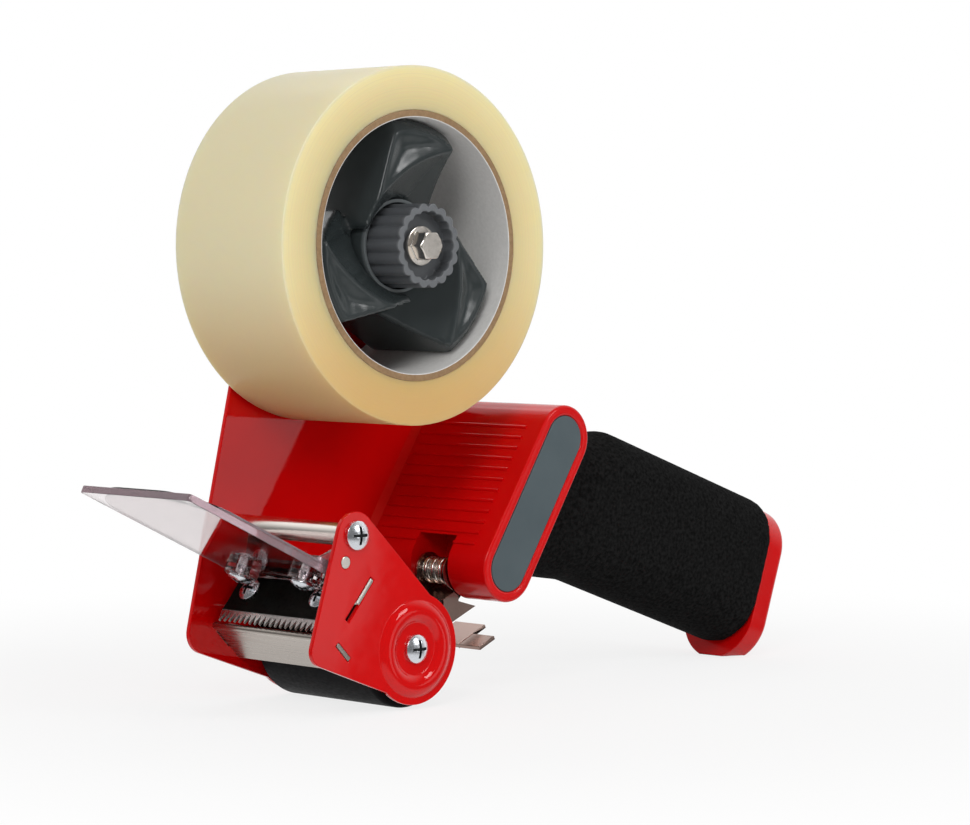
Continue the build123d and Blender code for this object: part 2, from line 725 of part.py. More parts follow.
with BuildPart() as housing:
    with BuildSketch(side(INNER_Y)):
        housing_outline(0)
    extrude(amount=HOUSING_LEN)
    with BuildSketch(side(INNER_Y - RIB_FAR_INSET)):
        with Locations(*rib_places()):
            Circle(RIB_R)
    extrude(amount=HOUSING_LEN - RIB_FAR_INSET - RIB_NEAR_INSET)
    with BuildSketch(side(INNER_Y)):
        housing_outline(HOUSING_WALL)
    extrude(amount=CHAMBER_DEPTH, mode=Mode.SUBTRACT)
    with BuildSketch(side(INNER_Y)):
        with Locations(HOUSING_TOP, HOUSING_LOW):
            Circle(BOSS_R)
    extrude(amount=CHAMBER_DEPTH)
    with BuildSketch(side(INNER_Y)):
        with Locations(HOUSING_TOP, HOUSING_LOW):
            Circle(M4_SHANK_R + RUN_FIT)
    extrude(amount=M4_DEPTH, mode=Mode.SUBTRACT)
    with BuildSketch(side(HOUSING_NEAR)):
        housing_outline(INLAY_RIM)
    extrude(amount=-(INLAY_T + INLAY_SINK), mode=Mode.SUBTRACT)
    with BuildSketch(side(NOTCH_FAR_Y)):
        with Locations((NOTCH_BACK, LEVER_PIVOT[1] + NOTCH_HEADROOM)):
            Rectangle(3 * HOUSING_R, 3 * HOUSING_R, align=(Align.MAX, Align.MAX))
    extrude(amount=NOTCH_W, mode=Mode.SUBTRACT)
    with BuildSketch(side(NOTCH_FAR_Y + PIN_SEAT)):
        disc(LEVER_PIVOT, LEVER_PIN_R)
    extrude(amount=NOTCH_W + 2 * PIN_SEAT, mode=Mode.SUBTRACT)
housing.part.label = "housing"
export_step(housing.part, "parts/housing.step")

with BuildPart() as housing_inlay:
    with BuildSketch(side(HOUSING_NEAR + INLAY_SINK + INLAY_T)):
        housing_outline(INLAY_RIM + RUN_FIT)
    extrude(amount=INLAY_T)
housing_inlay.part.label = "housing_inlay"
export_step(housing_inlay.part, "parts/housing_inlay.step")

with BuildPart() as housing_screws:
    for boss in (HOUSING_TOP, HOUSING_LOW):
        add(pan_screw(facing(boss, OUTER_Y, 1), M4_HEAD_R, M4_HEAD_H, M4_SHANK_R, M4_DEPTH))
housing_screws.part.label = "housing_screws"
export_step(housing_screws.part, "parts/housing_screws.step")


# Grip: the foam sleeve swells from the neck and then runs straight back to the cap

GRIP_Y = INNER_Y - HOUSING_LEN / 2
GRIP_DIR = (cos(TILT), -sin(TILT))
REAR_MID = along(HOUSING_MID, HOUSING_BACK, HOUSING_R)
GRIP_ROOT = along(REAR_MID, HOUSING_UP, GRIP_SEAT)
GRIP_NECK = sloping(along(REAR_MID, HOUSING_UP, GRIP_NECK_SEAT), GRIP_Y, HOUSING_BACK)


def grip_plane(distance):
    """Plane square to the grip at a distance from the housing: across (x) and up (y)."""
    return sloping(along(GRIP_ROOT, GRIP_DIR, distance), GRIP_Y, GRIP_DIR)


def grip_body(shrink):
    """Round-ended body of the grip, drawn smaller by a margin."""
    with BuildPart() as body:
        with BuildSketch(GRIP_NECK):
            SlotOverall(GRIP_NECK_H - 2 * shrink, GRIP_NECK_W - 2 * shrink, rotation=90)
        with BuildSketch(grip_plane(GRIP_SWELL_AT)):
            SlotOverall(GRIP_H - 2 * shrink, GRIP_W - 2 * shrink, rotation=90)
        with BuildSketch(grip_plane(GRIP_LEN)):
            SlotOverall(GRIP_H - 2 * shrink, GRIP_W - 2 * shrink, rotation=90)
        loft(ruled=True)
    return body.part


with BuildPart() as foam_grip:
    add(grip_body(0))
    add(grip_body(FOAM_T), mode=Mode.SUBTRACT)
foam_grip.part.label = "foam_grip"
export_step(foam_grip.part, "parts/foam_grip.step")

with BuildPart() as grip_core:
    add(grip_body(FOAM_T))
    with BuildSketch(grip_plane(GRIP_LEN)):
        hollow = FOAM_T + CORE_SHELL
        SlotOverall(GRIP_H - 2 * hollow, GRIP_W - 2 * hollow, rotation=90)
    extrude(amount=GRIP_SWELL_AT - GRIP_LEN, mode=Mode.SUBTRACT)
grip_core.part.label = "grip_core"
export_step(grip_core.part, "parts/grip_core.step")

with BuildPart() as end_cap:
    with BuildSketch(grip_plane(GRIP_LEN)):
        with Locations((0, -CAP_DROP)):
            SlotOverall(CAP_H, CAP_W, rotation=90)
    extrude(amount=CAP_T)
    fillet(end_cap.faces().sort_by(Axis(row(GRIP_ROOT), (GRIP_DIR[0], 0, GRIP_DIR[1])))[-1].edges(), CAP_ROUND)
    with BuildSketch(grip_plane(GRIP_LEN)):
        plug = FOAM_T + CORE_SHELL + RUN_FIT
        SlotOverall(GRIP_H - 2 * plug, GRIP_W - 2 * plug, rotation=90)
    extrude(amount=-PLUG_LEN)
    with BuildSketch(grip_plane(GRIP_LEN + CAP_T)):
        Circle(M4_SHANK_R + RUN_FIT)
    extrude(amount=-M4_DEPTH, mode=Mode.SUBTRACT)
    split(bisect_by=Plane.XY, keep=Keep.TOP)
end_cap.part.label = "end_cap"
export_step(end_cap.part, "parts/end_cap.step")

with BuildPart() as end_cap_screw:
    add(pan_screw(grip_plane(GRIP_LEN + CAP_T), M4_HEAD_R, M4_HEAD_H, M4_SHANK_R, M4_DEPTH))
end_cap_screw.part.label = "end_cap_screw"
export_step(end_cap_screw.part, "parts/end_cap_screw.step")


# Anti-rollback lever: a bent sheet channel with two ears on a pin, a nose over the roller and a stepped tail

LEVER_NEAR_Y = LEVER_FAR_Y - LEVER_W


def lever_side(y, flange, web_end):
    """Side of the lever: an ear round the pivot that runs down past the web into a flange."""
    with BuildPart() as cheek:
        with BuildSketch(side(y)):
            disc(LEVER_PIVOT, LEVER_EAR_R)
            disc(web_end, LEVER_T / 2)
            disc(along(web_end, (WEB_BACK[0] - WEB_FRONT[0], WEB_BACK[1] - WEB_FRONT[1]), 0.5), LEVER_T / 2)
            make_hull()
        extrude(amount=LEVER_T)
        with BuildSketch(side(y)):
            with BuildLine():
                Polyline(*flange, close=True)
            make_face()
        extrude(amount=LEVER_T)
    return cheek.part


def lever_strip(y, width, front, back):
    """Flat strip across the lever, from a front place to a back place."""
    with BuildPart() as strip:
        with BuildSketch(side(y)):
            with BuildLine():
                Line(front, back)
            trace(line_width=LEVER_T)
        extrude(amount=width)
    return strip.part


with BuildPart() as rollback_lever:
    add(lever_strip(LEVER_FAR_Y, LEVER_W, WEB_FRONT, WEB_BACK))
    with BuildSketch(side(LEVER_FAR_Y)):
        with BuildLine():
            FilletPolyline(NOSE_AT, NOSE_BEND, WEB_FRONT, WEB_BACK, radius=LEVER_BEND_R)
        trace(line_width=LEVER_T)
    extrude(amount=NOSE_W)
    add(lever_side(LEVER_FAR_Y, (*FAR_FLANGE, LEG_FRONT), WEB_FRONT))
    add(lever_side(LEVER_NEAR_Y + LEVER_T, NEAR_FLANGE, NEAR_FLANGE[1]))
    add(lever_strip(TAIL_FAR_Y, TAIL_FAR_Y - TAIL_STEP_Y, LEG_FRONT, TAIL_REAR))
    add(lever_strip(TAIL_STEP_Y, TAIL_STEP_Y - TAIL_NEAR_Y, LEG_FRONT, TAIL_STEP))
    with BuildSketch(side(LEVER_FAR_Y)):
        disc(LEVER_PIVOT, LEVER_PIN_R + RUN_FIT)
    extrude(amount=LEVER_W, mode=Mode.SUBTRACT)
rollback_lever.part.label = "rollback_lever"
export_step(rollback_lever.part, "parts/rollback_lever.step")

with BuildPart() as lever_pin:
    with BuildSketch(side(NOTCH_FAR_Y + PIN_SEAT)):
        disc(LEVER_PIVOT, LEVER_PIN_R)
    extrude(amount=NOTCH_W + 2 * PIN_SEAT)
lever_pin.part.label = "lever_pin"
export_step(lever_pin.part, "parts/lever_pin.step")

with BuildPart() as lever_spring:
    with BuildLine() as lever_coil:
        coil(LEVER_PIVOT, SPRING_R, LEVER_FAR_Y - LEVER_T - SPRING_WIRE, SPRING_PITCH, SPRING_TURNS, SPRING_LEG)
    wire = lever_coil.wire()
    with BuildSketch(Plane(origin=wire @ 0, z_dir=wire % 0)):
        RegularPolygon(SPRING_WIRE / 2, WIRE_SIDES)
    sweep(path=wire)
lever_spring.part.label = "lever_spring"
export_step(lever_spring.part, "parts/lever_spring.step")
print("lever spring clear gap between turns", round(spring_gap(wire, SPRING_R, SPRING_WIRE), 2))


# Spindle that carries the hub

SPINDLE = facing(HUB_AXIS, 0, -1)

with BuildPart() as spindle:
    add(ring(SPINDLE, BOLT_R + RUN_FIT, SPINDLE_R, -INNER_Y, SPINDLE_END))
    add(ring(SPINDLE, BOLT_R + RUN_FIT, SPINDLE_FLANGE_R, -INNER_Y, SPINDLE_FLANGE_T - INNER_Y))
    add(ring(SPINDLE, BOLT_R + RUN_FIT, SPINDLE_STUD_R, -OUTER_Y - NUT_T, -INNER_Y))
spindle.part.label = "spindle"
export_step(spindle.part, "parts/spindle.step")

with BuildPart() as spindle_nut:
    nut_seat = facing(HUB_AXIS, OUTER_Y, 1)
    add(hexagon(nut_seat, NUT_AF, 0, NUT_T))
    with BuildSketch(nut_seat):
        Circle(SPINDLE_STUD_R + RUN_FIT)
    extrude(amount=NUT_T, mode=Mode.SUBTRACT)
spindle_nut.part.label = "spindle_nut"
export_step(spindle_nut.part, "parts/spindle_nut.step")


# Tape hub: a sleeve with a collar, a back flange, and three scooped vanes standing on the flange

PAD_R = CORE_BORE / 2 - PASS_GAP
VANE_TRAIL_ANGLE = degrees(acos(VANE_TRAIL / PAD_R))
VANE_ROOT_TO = VANE_TIP + degrees(acos(VANE_ROOT_R / PAD_R))
VANE_ROOT_FROM = VANE_ROOT_TO - 360 / VANE_COUNT + VANE_SPLIT
FLANGE_FACE = HUB_DISC_T - HUB_DISC_AT

with BuildPart() as hub_wheel:
    add(ring(SPINDLE, SPINDLE_R + RUN_FIT, HUB_TUBE_R, -HUB_BACK, HUB_TUBE_END))
    add(ring(SPINDLE, SPINDLE_R + RUN_FIT, COLLAR_R, COLLAR_FLOOR, COLLAR_FLOOR + COLLAR_FLOOR_T))
    add(ring(SPINDLE, COLLAR_R - COLLAR_WALL, COLLAR_R, COLLAR_FLOOR, COLLAR_END))
hub_wheel.part.label = "hub_wheel"
export_step(hub_wheel.part, "parts/hub_wheel.step")

with BuildPart() as hub_flange:
    add(ring(SPINDLE, HUB_TUBE_R, HUB_DISC_R, -HUB_DISC_AT, FLANGE_FACE))
hub_flange.part.label = "hub_flange"
export_step(hub_flange.part, "parts/hub_flange.step")


def polar(radius, angle):
    """A point about the hub axis."""
    return (radius * cos(radians(angle)), radius * sin(radians(angle)))


def vane_outline():
    """Outline of one vane: its leading side runs tangent to the root ring, its trailing side drops to a heel."""
    with BuildLine() as outline:
        tip = CenterArc((0, 0), PAD_R, VANE_TRAIL_ANGLE, VANE_TIP - VANE_TRAIL_ANGLE)
        root = CenterArc((0, 0), COLLAR_R, VANE_ROOT_FROM, VANE_ROOT_TO - VANE_ROOT_FROM)
        Polyline(tip @ 1, polar(VANE_ROOT_R, VANE_ROOT_TO), root @ 1)
        Polyline(root @ 0, polar(VANE_ROOT_R, VANE_ROOT_FROM), (VANE_TRAIL, VANE_HEEL), tip @ 0)
    make_face(outline.edges())


with BuildPart() as vane:
    with BuildSketch(Plane.XY.offset(FLANGE_FACE)):
        vane_outline()
    extrude(amount=VANE_FACE - FLANGE_FACE)
    rim = vane.edges().filter_by(GeomType.CIRCLE).group_by(Axis.Z)[-1].sort_by(SortBy.RADIUS)[-1]
    chamfer(rim, VANE_CHAMFER)
    with BuildSketch(Plane(origin=SCOOP_AT, x_dir=(1, 0, 0), z_dir=(0, -1, 0))):
        with BuildLine():
            ThreePointArc((SCOOP_R, VANE_FACE), SCOOP_MID, SCOOP_FLOOR)
            Polyline(
                SCOOP_FLOOR,
                (0, SCOOP_FLOOR[1]),
                (0, VANE_FACE + VANE_CHAMFER),
                (SCOOP_R, VANE_FACE + VANE_CHAMFER),
                (SCOOP_R, VANE_FACE),
            )
        make_face()
    revolve(axis=Axis(SCOOP_AT, (0, 0, 1)), mode=Mode.SUBTRACT)
    with BuildSketch(Plane.XY.offset(FLANGE_FACE)):
        vane_outline()
        offset(amount=-VANE_SKIN, kind=Kind.INTERSECTION, mode=Mode.REPLACE)
    extrude(amount=VANE_POCKET_TOP - FLANGE_FACE, mode=Mode.SUBTRACT)

with BuildPart() as hub_vanes:
    with Locations(SPINDLE):
        with PolarLocations(0, VANE_COUNT):
            add(vane.part)
hub_vanes.part.label = "hub_vanes"
export_step(hub_vanes.part, "parts/hub_vanes.step")


# Roll of tape on its cardboard core

with BuildPart() as tape_core:
    add(ring(SPINDLE, CORE_BORE / 2, CORE_BORE / 2 + CORE_WALL, -TAPE_W / 2, TAPE_W / 2))
tape_core.part.label = "tape_core"
export_step(tape_core.part, "parts/tape_core.step")

with BuildPart() as tape_winding:
    add(ring(SPINDLE, CORE_BORE / 2 + CORE_WALL, ROLL_D / 2, -TAPE_W / 2, TAPE_W / 2))
tape_winding.part.label = "tape_winding"
export_step(tape_winding.part, "parts/tape_winding.step")


# Tension knob on its flanged bolt, with the brake spring and washer behind it

def knob_outline(shrink):
    """Lobed outline of the knob, drawn smaller by a margin."""
    Circle(KNOB_R - shrink)
    with PolarLocations(KNOB_LOBE_RING_R - shrink, KNOB_LOBES):
        Circle(KNOB_LOBE_R)


with BuildPart() as tension_knob:
    with BuildSketch(SPINDLE.offset(KNOB_IN)):
        knob_outline(0)
    extrude(amount=KNOB_RIM - KNOB_IN)
    with BuildSketch(SPINDLE.offset(KNOB_SEAT)):
        knob_outline(KNOB_WALL)
    extrude(amount=KNOB_RIM - KNOB_SEAT, mode=Mode.SUBTRACT)
    with BuildSketch(SPINDLE.offset(KNOB_IN)):
        Circle(KNOB_POCKET_R)
    extrude(amount=KNOB_POCKET_END - KNOB_IN, mode=Mode.SUBTRACT)
    with BuildSketch(SPINDLE.offset(KNOB_IN)):
        Circle(BOLT_R)
    extrude(amount=KNOB_RIM - KNOB_IN, mode=Mode.SUBTRACT)
tension_knob.part.label = "tension_knob"
export_step(tension_knob.part, "parts/tension_knob.step")

with BuildPart() as spindle_bolt:
    with BuildSketch(SPINDLE.offset(BOLT_END)):
        Circle(BOLT_R)
    extrude(amount=KNOB_SEAT - BOLT_END)
    with BuildSketch(SPINDLE.offset(KNOB_SEAT)):
        Circle(BOLT_FLANGE_R)
    extrude(amount=BOLT_FLANGE_T)
    add(hexagon(SPINDLE, BOLT_AF, KNOB_SEAT, BOLT_HEAD_TOP))
spindle_bolt.part.label = "spindle_bolt"
export_step(spindle_bolt.part, "parts/spindle_bolt.step")

WASHER_AT = HUB_TUBE_END + PASS_GAP

with BuildPart() as brake_washer:
    add(ring(SPINDLE, BOLT_R + RUN_FIT, HUB_TUBE_R, WASHER_AT, WASHER_AT + WASHER_T))
brake_washer.part.label = "brake_washer"
export_step(brake_washer.part, "parts/brake_washer.step")

BRAKE_FROM = WASHER_AT + WASHER_T
BRAKE_PITCH = (KNOB_POCKET_END - BRAKE_FROM - BRAKE_WIRE - 2 * RUN_FIT) / BRAKE_TURNS
BRAKE_START = -BRAKE_FROM - BRAKE_WIRE / 2 - RUN_FIT

with BuildPart() as brake_spring:
    with BuildLine() as brake_coil:
        coil(HUB_AXIS, BRAKE_SPRING_R, BRAKE_START, BRAKE_PITCH, BRAKE_TURNS, BRAKE_WIRE)
    wire = brake_coil.wire()
    with BuildSketch(Plane(origin=wire @ 0, z_dir=wire % 0)):
        RegularPolygon(BRAKE_WIRE / 2, WIRE_SIDES)
    sweep(path=wire)
brake_spring.part.label = "brake_spring"
export_step(brake_spring.part, "parts/brake_spring.step")
print("brake spring clear gap between turns", round(spring_gap(wire, BRAKE_SPRING_R, BRAKE_WIRE), 2))
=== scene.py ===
"""Looks of a hand-held packing-tape dispenser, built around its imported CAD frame.

Metres, in the CAD frame: +X runs back to the handle, -Y is the near side with the tension knob
and +Z is up.
"""

import json
from math import pi, radians

import bpy
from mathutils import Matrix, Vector
from mathutils.kdtree import KDTree


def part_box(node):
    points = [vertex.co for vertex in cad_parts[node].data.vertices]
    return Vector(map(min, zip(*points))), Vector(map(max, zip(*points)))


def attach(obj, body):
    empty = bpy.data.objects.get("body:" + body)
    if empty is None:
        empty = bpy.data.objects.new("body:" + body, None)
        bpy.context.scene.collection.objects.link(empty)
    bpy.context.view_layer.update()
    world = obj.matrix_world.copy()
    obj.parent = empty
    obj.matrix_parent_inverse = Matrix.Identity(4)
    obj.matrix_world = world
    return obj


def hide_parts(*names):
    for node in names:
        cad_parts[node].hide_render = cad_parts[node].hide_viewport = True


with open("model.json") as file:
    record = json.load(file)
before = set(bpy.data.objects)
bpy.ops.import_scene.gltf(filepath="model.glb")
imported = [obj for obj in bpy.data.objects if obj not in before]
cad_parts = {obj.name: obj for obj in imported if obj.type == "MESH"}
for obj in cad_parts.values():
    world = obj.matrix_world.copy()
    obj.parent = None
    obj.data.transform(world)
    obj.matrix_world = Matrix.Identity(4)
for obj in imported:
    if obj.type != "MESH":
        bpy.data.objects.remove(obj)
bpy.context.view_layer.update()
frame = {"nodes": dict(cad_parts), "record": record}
scene = bpy.context.scene
scene.view_settings.view_transform = "Standard"


# Studio: a pale floor that runs into a white background, under large soft boxes.
# The camera and clear parts see plain white; glossy parts mirror a dim room with a bright backdrop,
# a white floor and a round card to the right of the camera.
FLOOR_SIZE = 8.0
FLOOR_DROP = 0.0002
FLOOR_COLOUR = (0.88, 0.88, 0.88, 1)
FLOOR_ROUGHNESS = 0.9
FLOOR_WHITE = 0.8
SHADOW_REACH = (0.12, 0.34)
SKY_LEVEL = 0.5
ROOM_LEVEL = 0.16
# What glossy parts mirror: its direction, the cosines between which it fades in, and its level.
MIRRORED = {
    "backdrop": ((0.64, 0.68, 0.36), (-0.1, 0.6), 1.0),
    "floor": ((0, 0, -1), (0.22, 0.5), 0.8),
    "card": ((0.551, -0.833, -0.052), (0.9854, 0.9871), 1.0),
}
WHITE = (1, 1, 1, 1)


def background_rays(tree):
    """1 where a ray looks at the background: seen by the camera or through clear plastic."""
    path = tree.nodes.new("ShaderNodeLightPath")
    either = tree.nodes.new("ShaderNodeMath")
    either.operation = "MAXIMUM"
    tree.links.new(path.outputs["Is Camera Ray"], either.inputs[0])
    tree.links.new(path.outputs["Is Transmission Ray"], either.inputs[1])
    return either.outputs[0]


bpy.ops.object.select_all(action="DESELECT")
bpy.ops.mesh.primitive_plane_add(size=FLOOR_SIZE, location=(0, 0, -FLOOR_DROP))
floor = bpy.context.object
floor.name = "studio_floor"
floor_paint = bpy.data.materials.new("studio_floor_paint")
floor_paint.use_nodes = True
floor_tree = floor_paint.node_tree
floor_shader = floor_tree.nodes["Principled BSDF"]
floor_shader.inputs["Base Color"].default_value = FLOOR_COLOUR
floor_shader.inputs["Roughness"].default_value = FLOOR_ROUGHNESS
floor_glow = floor_tree.nodes.new("ShaderNodeEmission")
floor_glow.inputs["Color"].default_value = WHITE
floor_place = floor_tree.nodes.new("ShaderNodeTexCoord")
floor_away = floor_tree.nodes.new("ShaderNodeVectorMath")
floor_away.operation = "LENGTH"
floor_tree.links.new(floor_place.outputs["Object"], floor_away.inputs[0])
floor_fade = floor_tree.nodes.new("ShaderNodeMapRange")
floor_fade.interpolation_type = "SMOOTHSTEP"
floor_fade.inputs["From Min"].default_value = SHADOW_REACH[0]
floor_fade.inputs["From Max"].default_value = SHADOW_REACH[1]
floor_fade.inputs["To Min"].default_value = FLOOR_WHITE
floor_fade.inputs["To Max"].default_value = 1.0
floor_tree.links.new(floor_away.outputs["Value"], floor_fade.inputs["Value"])
floor_share = floor_tree.nodes.new("ShaderNodeMath")
floor_share.operation = "MULTIPLY"
floor_tree.links.new(background_rays(floor_tree), floor_share.inputs[0])
floor_tree.links.new(floor_fade.outputs["Result"], floor_share.inputs[1])
floor_mix = floor_tree.nodes.new("ShaderNodeMixShader")
floor_tree.links.new(floor_share.outputs[0], floor_mix.inputs["Fac"])
floor_tree.links.new(floor_shader.outputs[0], floor_mix.inputs[1])
floor_tree.links.new(floor_glow.outputs[0], floor_mix.inputs[2])
floor_path = floor_tree.nodes.new("ShaderNodeLightPath")
floor_open = floor_tree.nodes.new("ShaderNodeBsdfTransparent")
floor_seen = floor_tree.nodes.new("ShaderNodeMixShader")
floor_tree.links.new(floor_path.outputs["Is Glossy Ray"], floor_seen.inputs["Fac"])
floor_tree.links.new(floor_mix.outputs[0], floor_seen.inputs[1])
floor_tree.links.new(floor_open.outputs[0], floor_seen.inputs[2])
floor_tree.links.new(floor_seen.outputs[0], floor_tree.nodes["Material Output"].inputs["Surface"])
floor.data.materials.append(floor_paint)

sky = bpy.data.worlds.new("studio_sky")
sky.use_nodes = True
sky_tree = sky.node_tree
sky_light = sky_tree.nodes["Background"]
sky_light.inputs["Color"].default_value = WHITE
sky_light.inputs["Strength"].default_value = SKY_LEVEL
sky_white = sky_tree.nodes.new("ShaderNodeBackground")
sky_white.inputs["Color"].default_value = WHITE
sky_way = sky_tree.nodes.new("ShaderNodeTexCoord")
sky_sum = sky_tree.nodes.new("ShaderNodeValue")
sky_sum.outputs[0].default_value = ROOM_LEVEL
sky_level = sky_sum.outputs[0]
for part_way, part_reach, part_level in MIRRORED.values():
    sky_side = sky_tree.nodes.new("ShaderNodeVectorMath")
    sky_side.operation = "DOT_PRODUCT"
    sky_side.inputs[1].default_value = part_way
    sky_tree.links.new(sky_way.outputs["Generated"], sky_side.inputs[0])
    sky_part = sky_tree.nodes.new("ShaderNodeMapRange")
    sky_part.interpolation_type = "SMOOTHSTEP"
    sky_part.inputs["From Min"].default_value = part_reach[0]
    sky_part.inputs["From Max"].default_value = part_reach[1]
    sky_part.inputs["To Max"].default_value = part_level
    sky_tree.links.new(sky_side.outputs["Value"], sky_part.inputs["Value"])
    sky_max = sky_tree.nodes.new("ShaderNodeMath")
    sky_max.operation = "MAXIMUM"
    sky_tree.links.new(sky_level, sky_max.inputs[0])
    sky_tree.links.new(sky_part.outputs["Result"], sky_max.inputs[1])
    sky_level = sky_max.outputs[0]
sky_mirrored = sky_tree.nodes.new("ShaderNodeBackground")
sky_mirrored.inputs["Color"].default_value = WHITE
sky_tree.links.new(sky_level, sky_mirrored.inputs["Strength"])
sky_path = sky_tree.nodes.new("ShaderNodeLightPath")
sky_room = sky_tree.nodes.new("ShaderNodeMixShader")
sky_tree.links.new(sky_path.outputs["Is Glossy Ray"], sky_room.inputs["Fac"])
sky_tree.links.new(sky_light.outputs[0], sky_room.inputs[1])
sky_tree.links.new(sky_mirrored.outputs[0], sky_room.inputs[2])
sky_mix = sky_tree.nodes.new("ShaderNodeMixShader")
sky_tree.links.new(background_rays(sky_tree), sky_mix.inputs["Fac"])
sky_tree.links.new(sky_room.outputs[0], sky_mix.inputs[1])
sky_tree.links.new(sky_white.outputs[0], sky_mix.inputs[2])
sky_tree.links.new(sky_mix.outputs[0], sky_tree.nodes["World Output"].inputs["Surface"])
scene.world = sky

# Place, size and power of each soft box.
SOFT_BOXES = {
    "soft_box_left": ((-1.15, -0.75, 0.95), 0.5, 6.5),
    "soft_box_right": ((0.55, -1.35, 0.75), 0.45, 5.0),
    "soft_box_top": ((-0.15, -0.55, 1.3), 0.4, 0.9),
    "soft_box_back": ((0.55, 0.85, 1.25), 0.6, 1.5),
}
LAMP_AIM = Vector((-0.02, 0, 0.1))
for lamp_name, (lamp_place, lamp_size, lamp_power) in SOFT_BOXES.items():
    lamp_data = bpy.data.lights.new(lamp_name, "AREA")
    lamp_data.size = lamp_size
    lamp_data.energy = lamp_power
    lamp = bpy.data.objects.new(lamp_name, lamp_data)
    lamp.location = lamp_place
    lamp.rotation_euler = (LAMP_AIM - Vector(lamp_place)).to_track_quat("-Z", "Y").to_euler()
    scene.collection.objects.link(lamp)

# Camera: a long lens a metre off, level with the roll and turned to its near front corner.
CAMERA_LENS = 118.2
CAMERA_SENSOR = 36.0
CAMERA_PLACE = (-0.69867, -0.7120, 0.1312)
CAMERA_TILT = 87.39
CAMERA_TURN = -44.66
camera_data = bpy.data.cameras.new("photo_camera")
camera_data.lens = CAMERA_LENS
camera_data.sensor_width = CAMERA_SENSOR
camera = bpy.data.objects.new("photo_camera", camera_data)
camera.location = CAMERA_PLACE
camera.rotation_euler = (radians(CAMERA_TILT), 0, radians(CAMERA_TURN))
scene.collection.objects.link(camera)
scene.camera = camera


# Side plates: a tall far plate and a low near cheek, pressed from steel sheet with a raised ring
# round the roller axle, enamelled in glossy red. They are screwed to the bar, the axle and the housing.
PLATE_EASE = 0.00028
EASE_STEPS = 2
WELD = 0.000002
SMOOTH_ANGLE = radians(38)
FLAT_WEIGHT = 90
PATCH_DETAIL = 4.0
PATCH_SPAN = (0.35, 0.65)
GRAIN_DETAIL = 2.0
GLOSS_SPAN = (0.3, 0.7)


def grain_group():
    """Node group for a fine surface grain: patchy colour, uneven gloss and a shallow relief."""
    tree = bpy.data.node_groups.new("surface_grain", "ShaderNodeTree")
    face = tree.interface
    for socket, kind in (
        ("Colour", "NodeSocketColor"),
        ("Patch Colour", "NodeSocketColor"),
        ("Patch Scale", "NodeSocketFloat"),
        ("Grain Scale", "NodeSocketFloat"),
        ("Grain Depth", "NodeSocketFloat"),
        ("Gloss Low", "NodeSocketFloat"),
        ("Gloss High", "NodeSocketFloat"),
        ("Stretch", "NodeSocketVector"),
    ):
        face.new_socket(socket, in_out="INPUT", socket_type=kind)
    face.new_socket("Colour", in_out="OUTPUT", socket_type="NodeSocketColor")
    face.new_socket("Roughness", in_out="OUTPUT", socket_type="NodeSocketFloat")
    face.new_socket("Normal", in_out="OUTPUT", socket_type="NodeSocketVector")
    given = tree.nodes.new("NodeGroupInput")
    result = tree.nodes.new("NodeGroupOutput")
    place = tree.nodes.new("ShaderNodeTexCoord")
    stretched = tree.nodes.new("ShaderNodeVectorMath")
    stretched.operation = "MULTIPLY"
    tree.links.new(place.outputs["Object"], stretched.inputs[0])
    tree.links.new(given.outputs["Stretch"], stretched.inputs[1])
    patches = tree.nodes.new("ShaderNodeTexNoise")
    patches.inputs["Detail"].default_value = PATCH_DETAIL
    tree.links.new(stretched.outputs[0], patches.inputs["Vector"])
    tree.links.new(given.outputs["Patch Scale"], patches.inputs["Scale"])
    patch_edge = tree.nodes.new("ShaderNodeMapRange")
    patch_edge.inputs["From Min"].default_value = PATCH_SPAN[0]
    patch_edge.inputs["From Max"].default_value = PATCH_SPAN[1]
    tree.links.new(patches.outputs["Fac"], patch_edge.inputs["Value"])
    blend = tree.nodes.new("ShaderNodeMix")
    blend.data_type = "RGBA"
    tree.links.new(patch_edge.outputs["Result"], blend.inputs["Factor"])
    tree.links.new(given.outputs["Colour"], blend.inputs["A"])
    tree.links.new(given.outputs["Patch Colour"], blend.inputs["B"])
    tree.links.new(blend.outputs["Result"], result.inputs["Colour"])
    grain = tree.nodes.new("ShaderNodeTexNoise")
    grain.inputs["Detail"].default_value = GRAIN_DETAIL
    tree.links.new(stretched.outputs[0], grain.inputs["Vector"])
    tree.links.new(given.outputs["Grain Scale"], grain.inputs["Scale"])
    gloss = tree.nodes.new("ShaderNodeMapRange")
    gloss.inputs["From Min"].default_value = GLOSS_SPAN[0]
    gloss.inputs["From Max"].default_value = GLOSS_SPAN[1]
    tree.links.new(grain.outputs["Fac"], gloss.inputs["Value"])
    tree.links.new(given.outputs["Gloss Low"], gloss.inputs["To Min"])
    tree.links.new(given.outputs["Gloss High"], gloss.inputs["To Max"])
    tree.links.new(gloss.outputs["Result"], result.inputs["Roughness"])
    relief = tree.nodes.new("ShaderNodeBump")
    tree.links.new(grain.outputs["Fac"], relief.inputs["Height"])
    tree.links.new(given.outputs["Grain Depth"], relief.inputs["Distance"])
    tree.links.new(relief.outputs["Normal"], result.inputs["Normal"])
    return tree


surface_grain = grain_group()
SOCKETS = {
    "metallic": "Metallic",
    "specular": "Specular IOR Level",
    "transmission": "Transmission Weight",
}


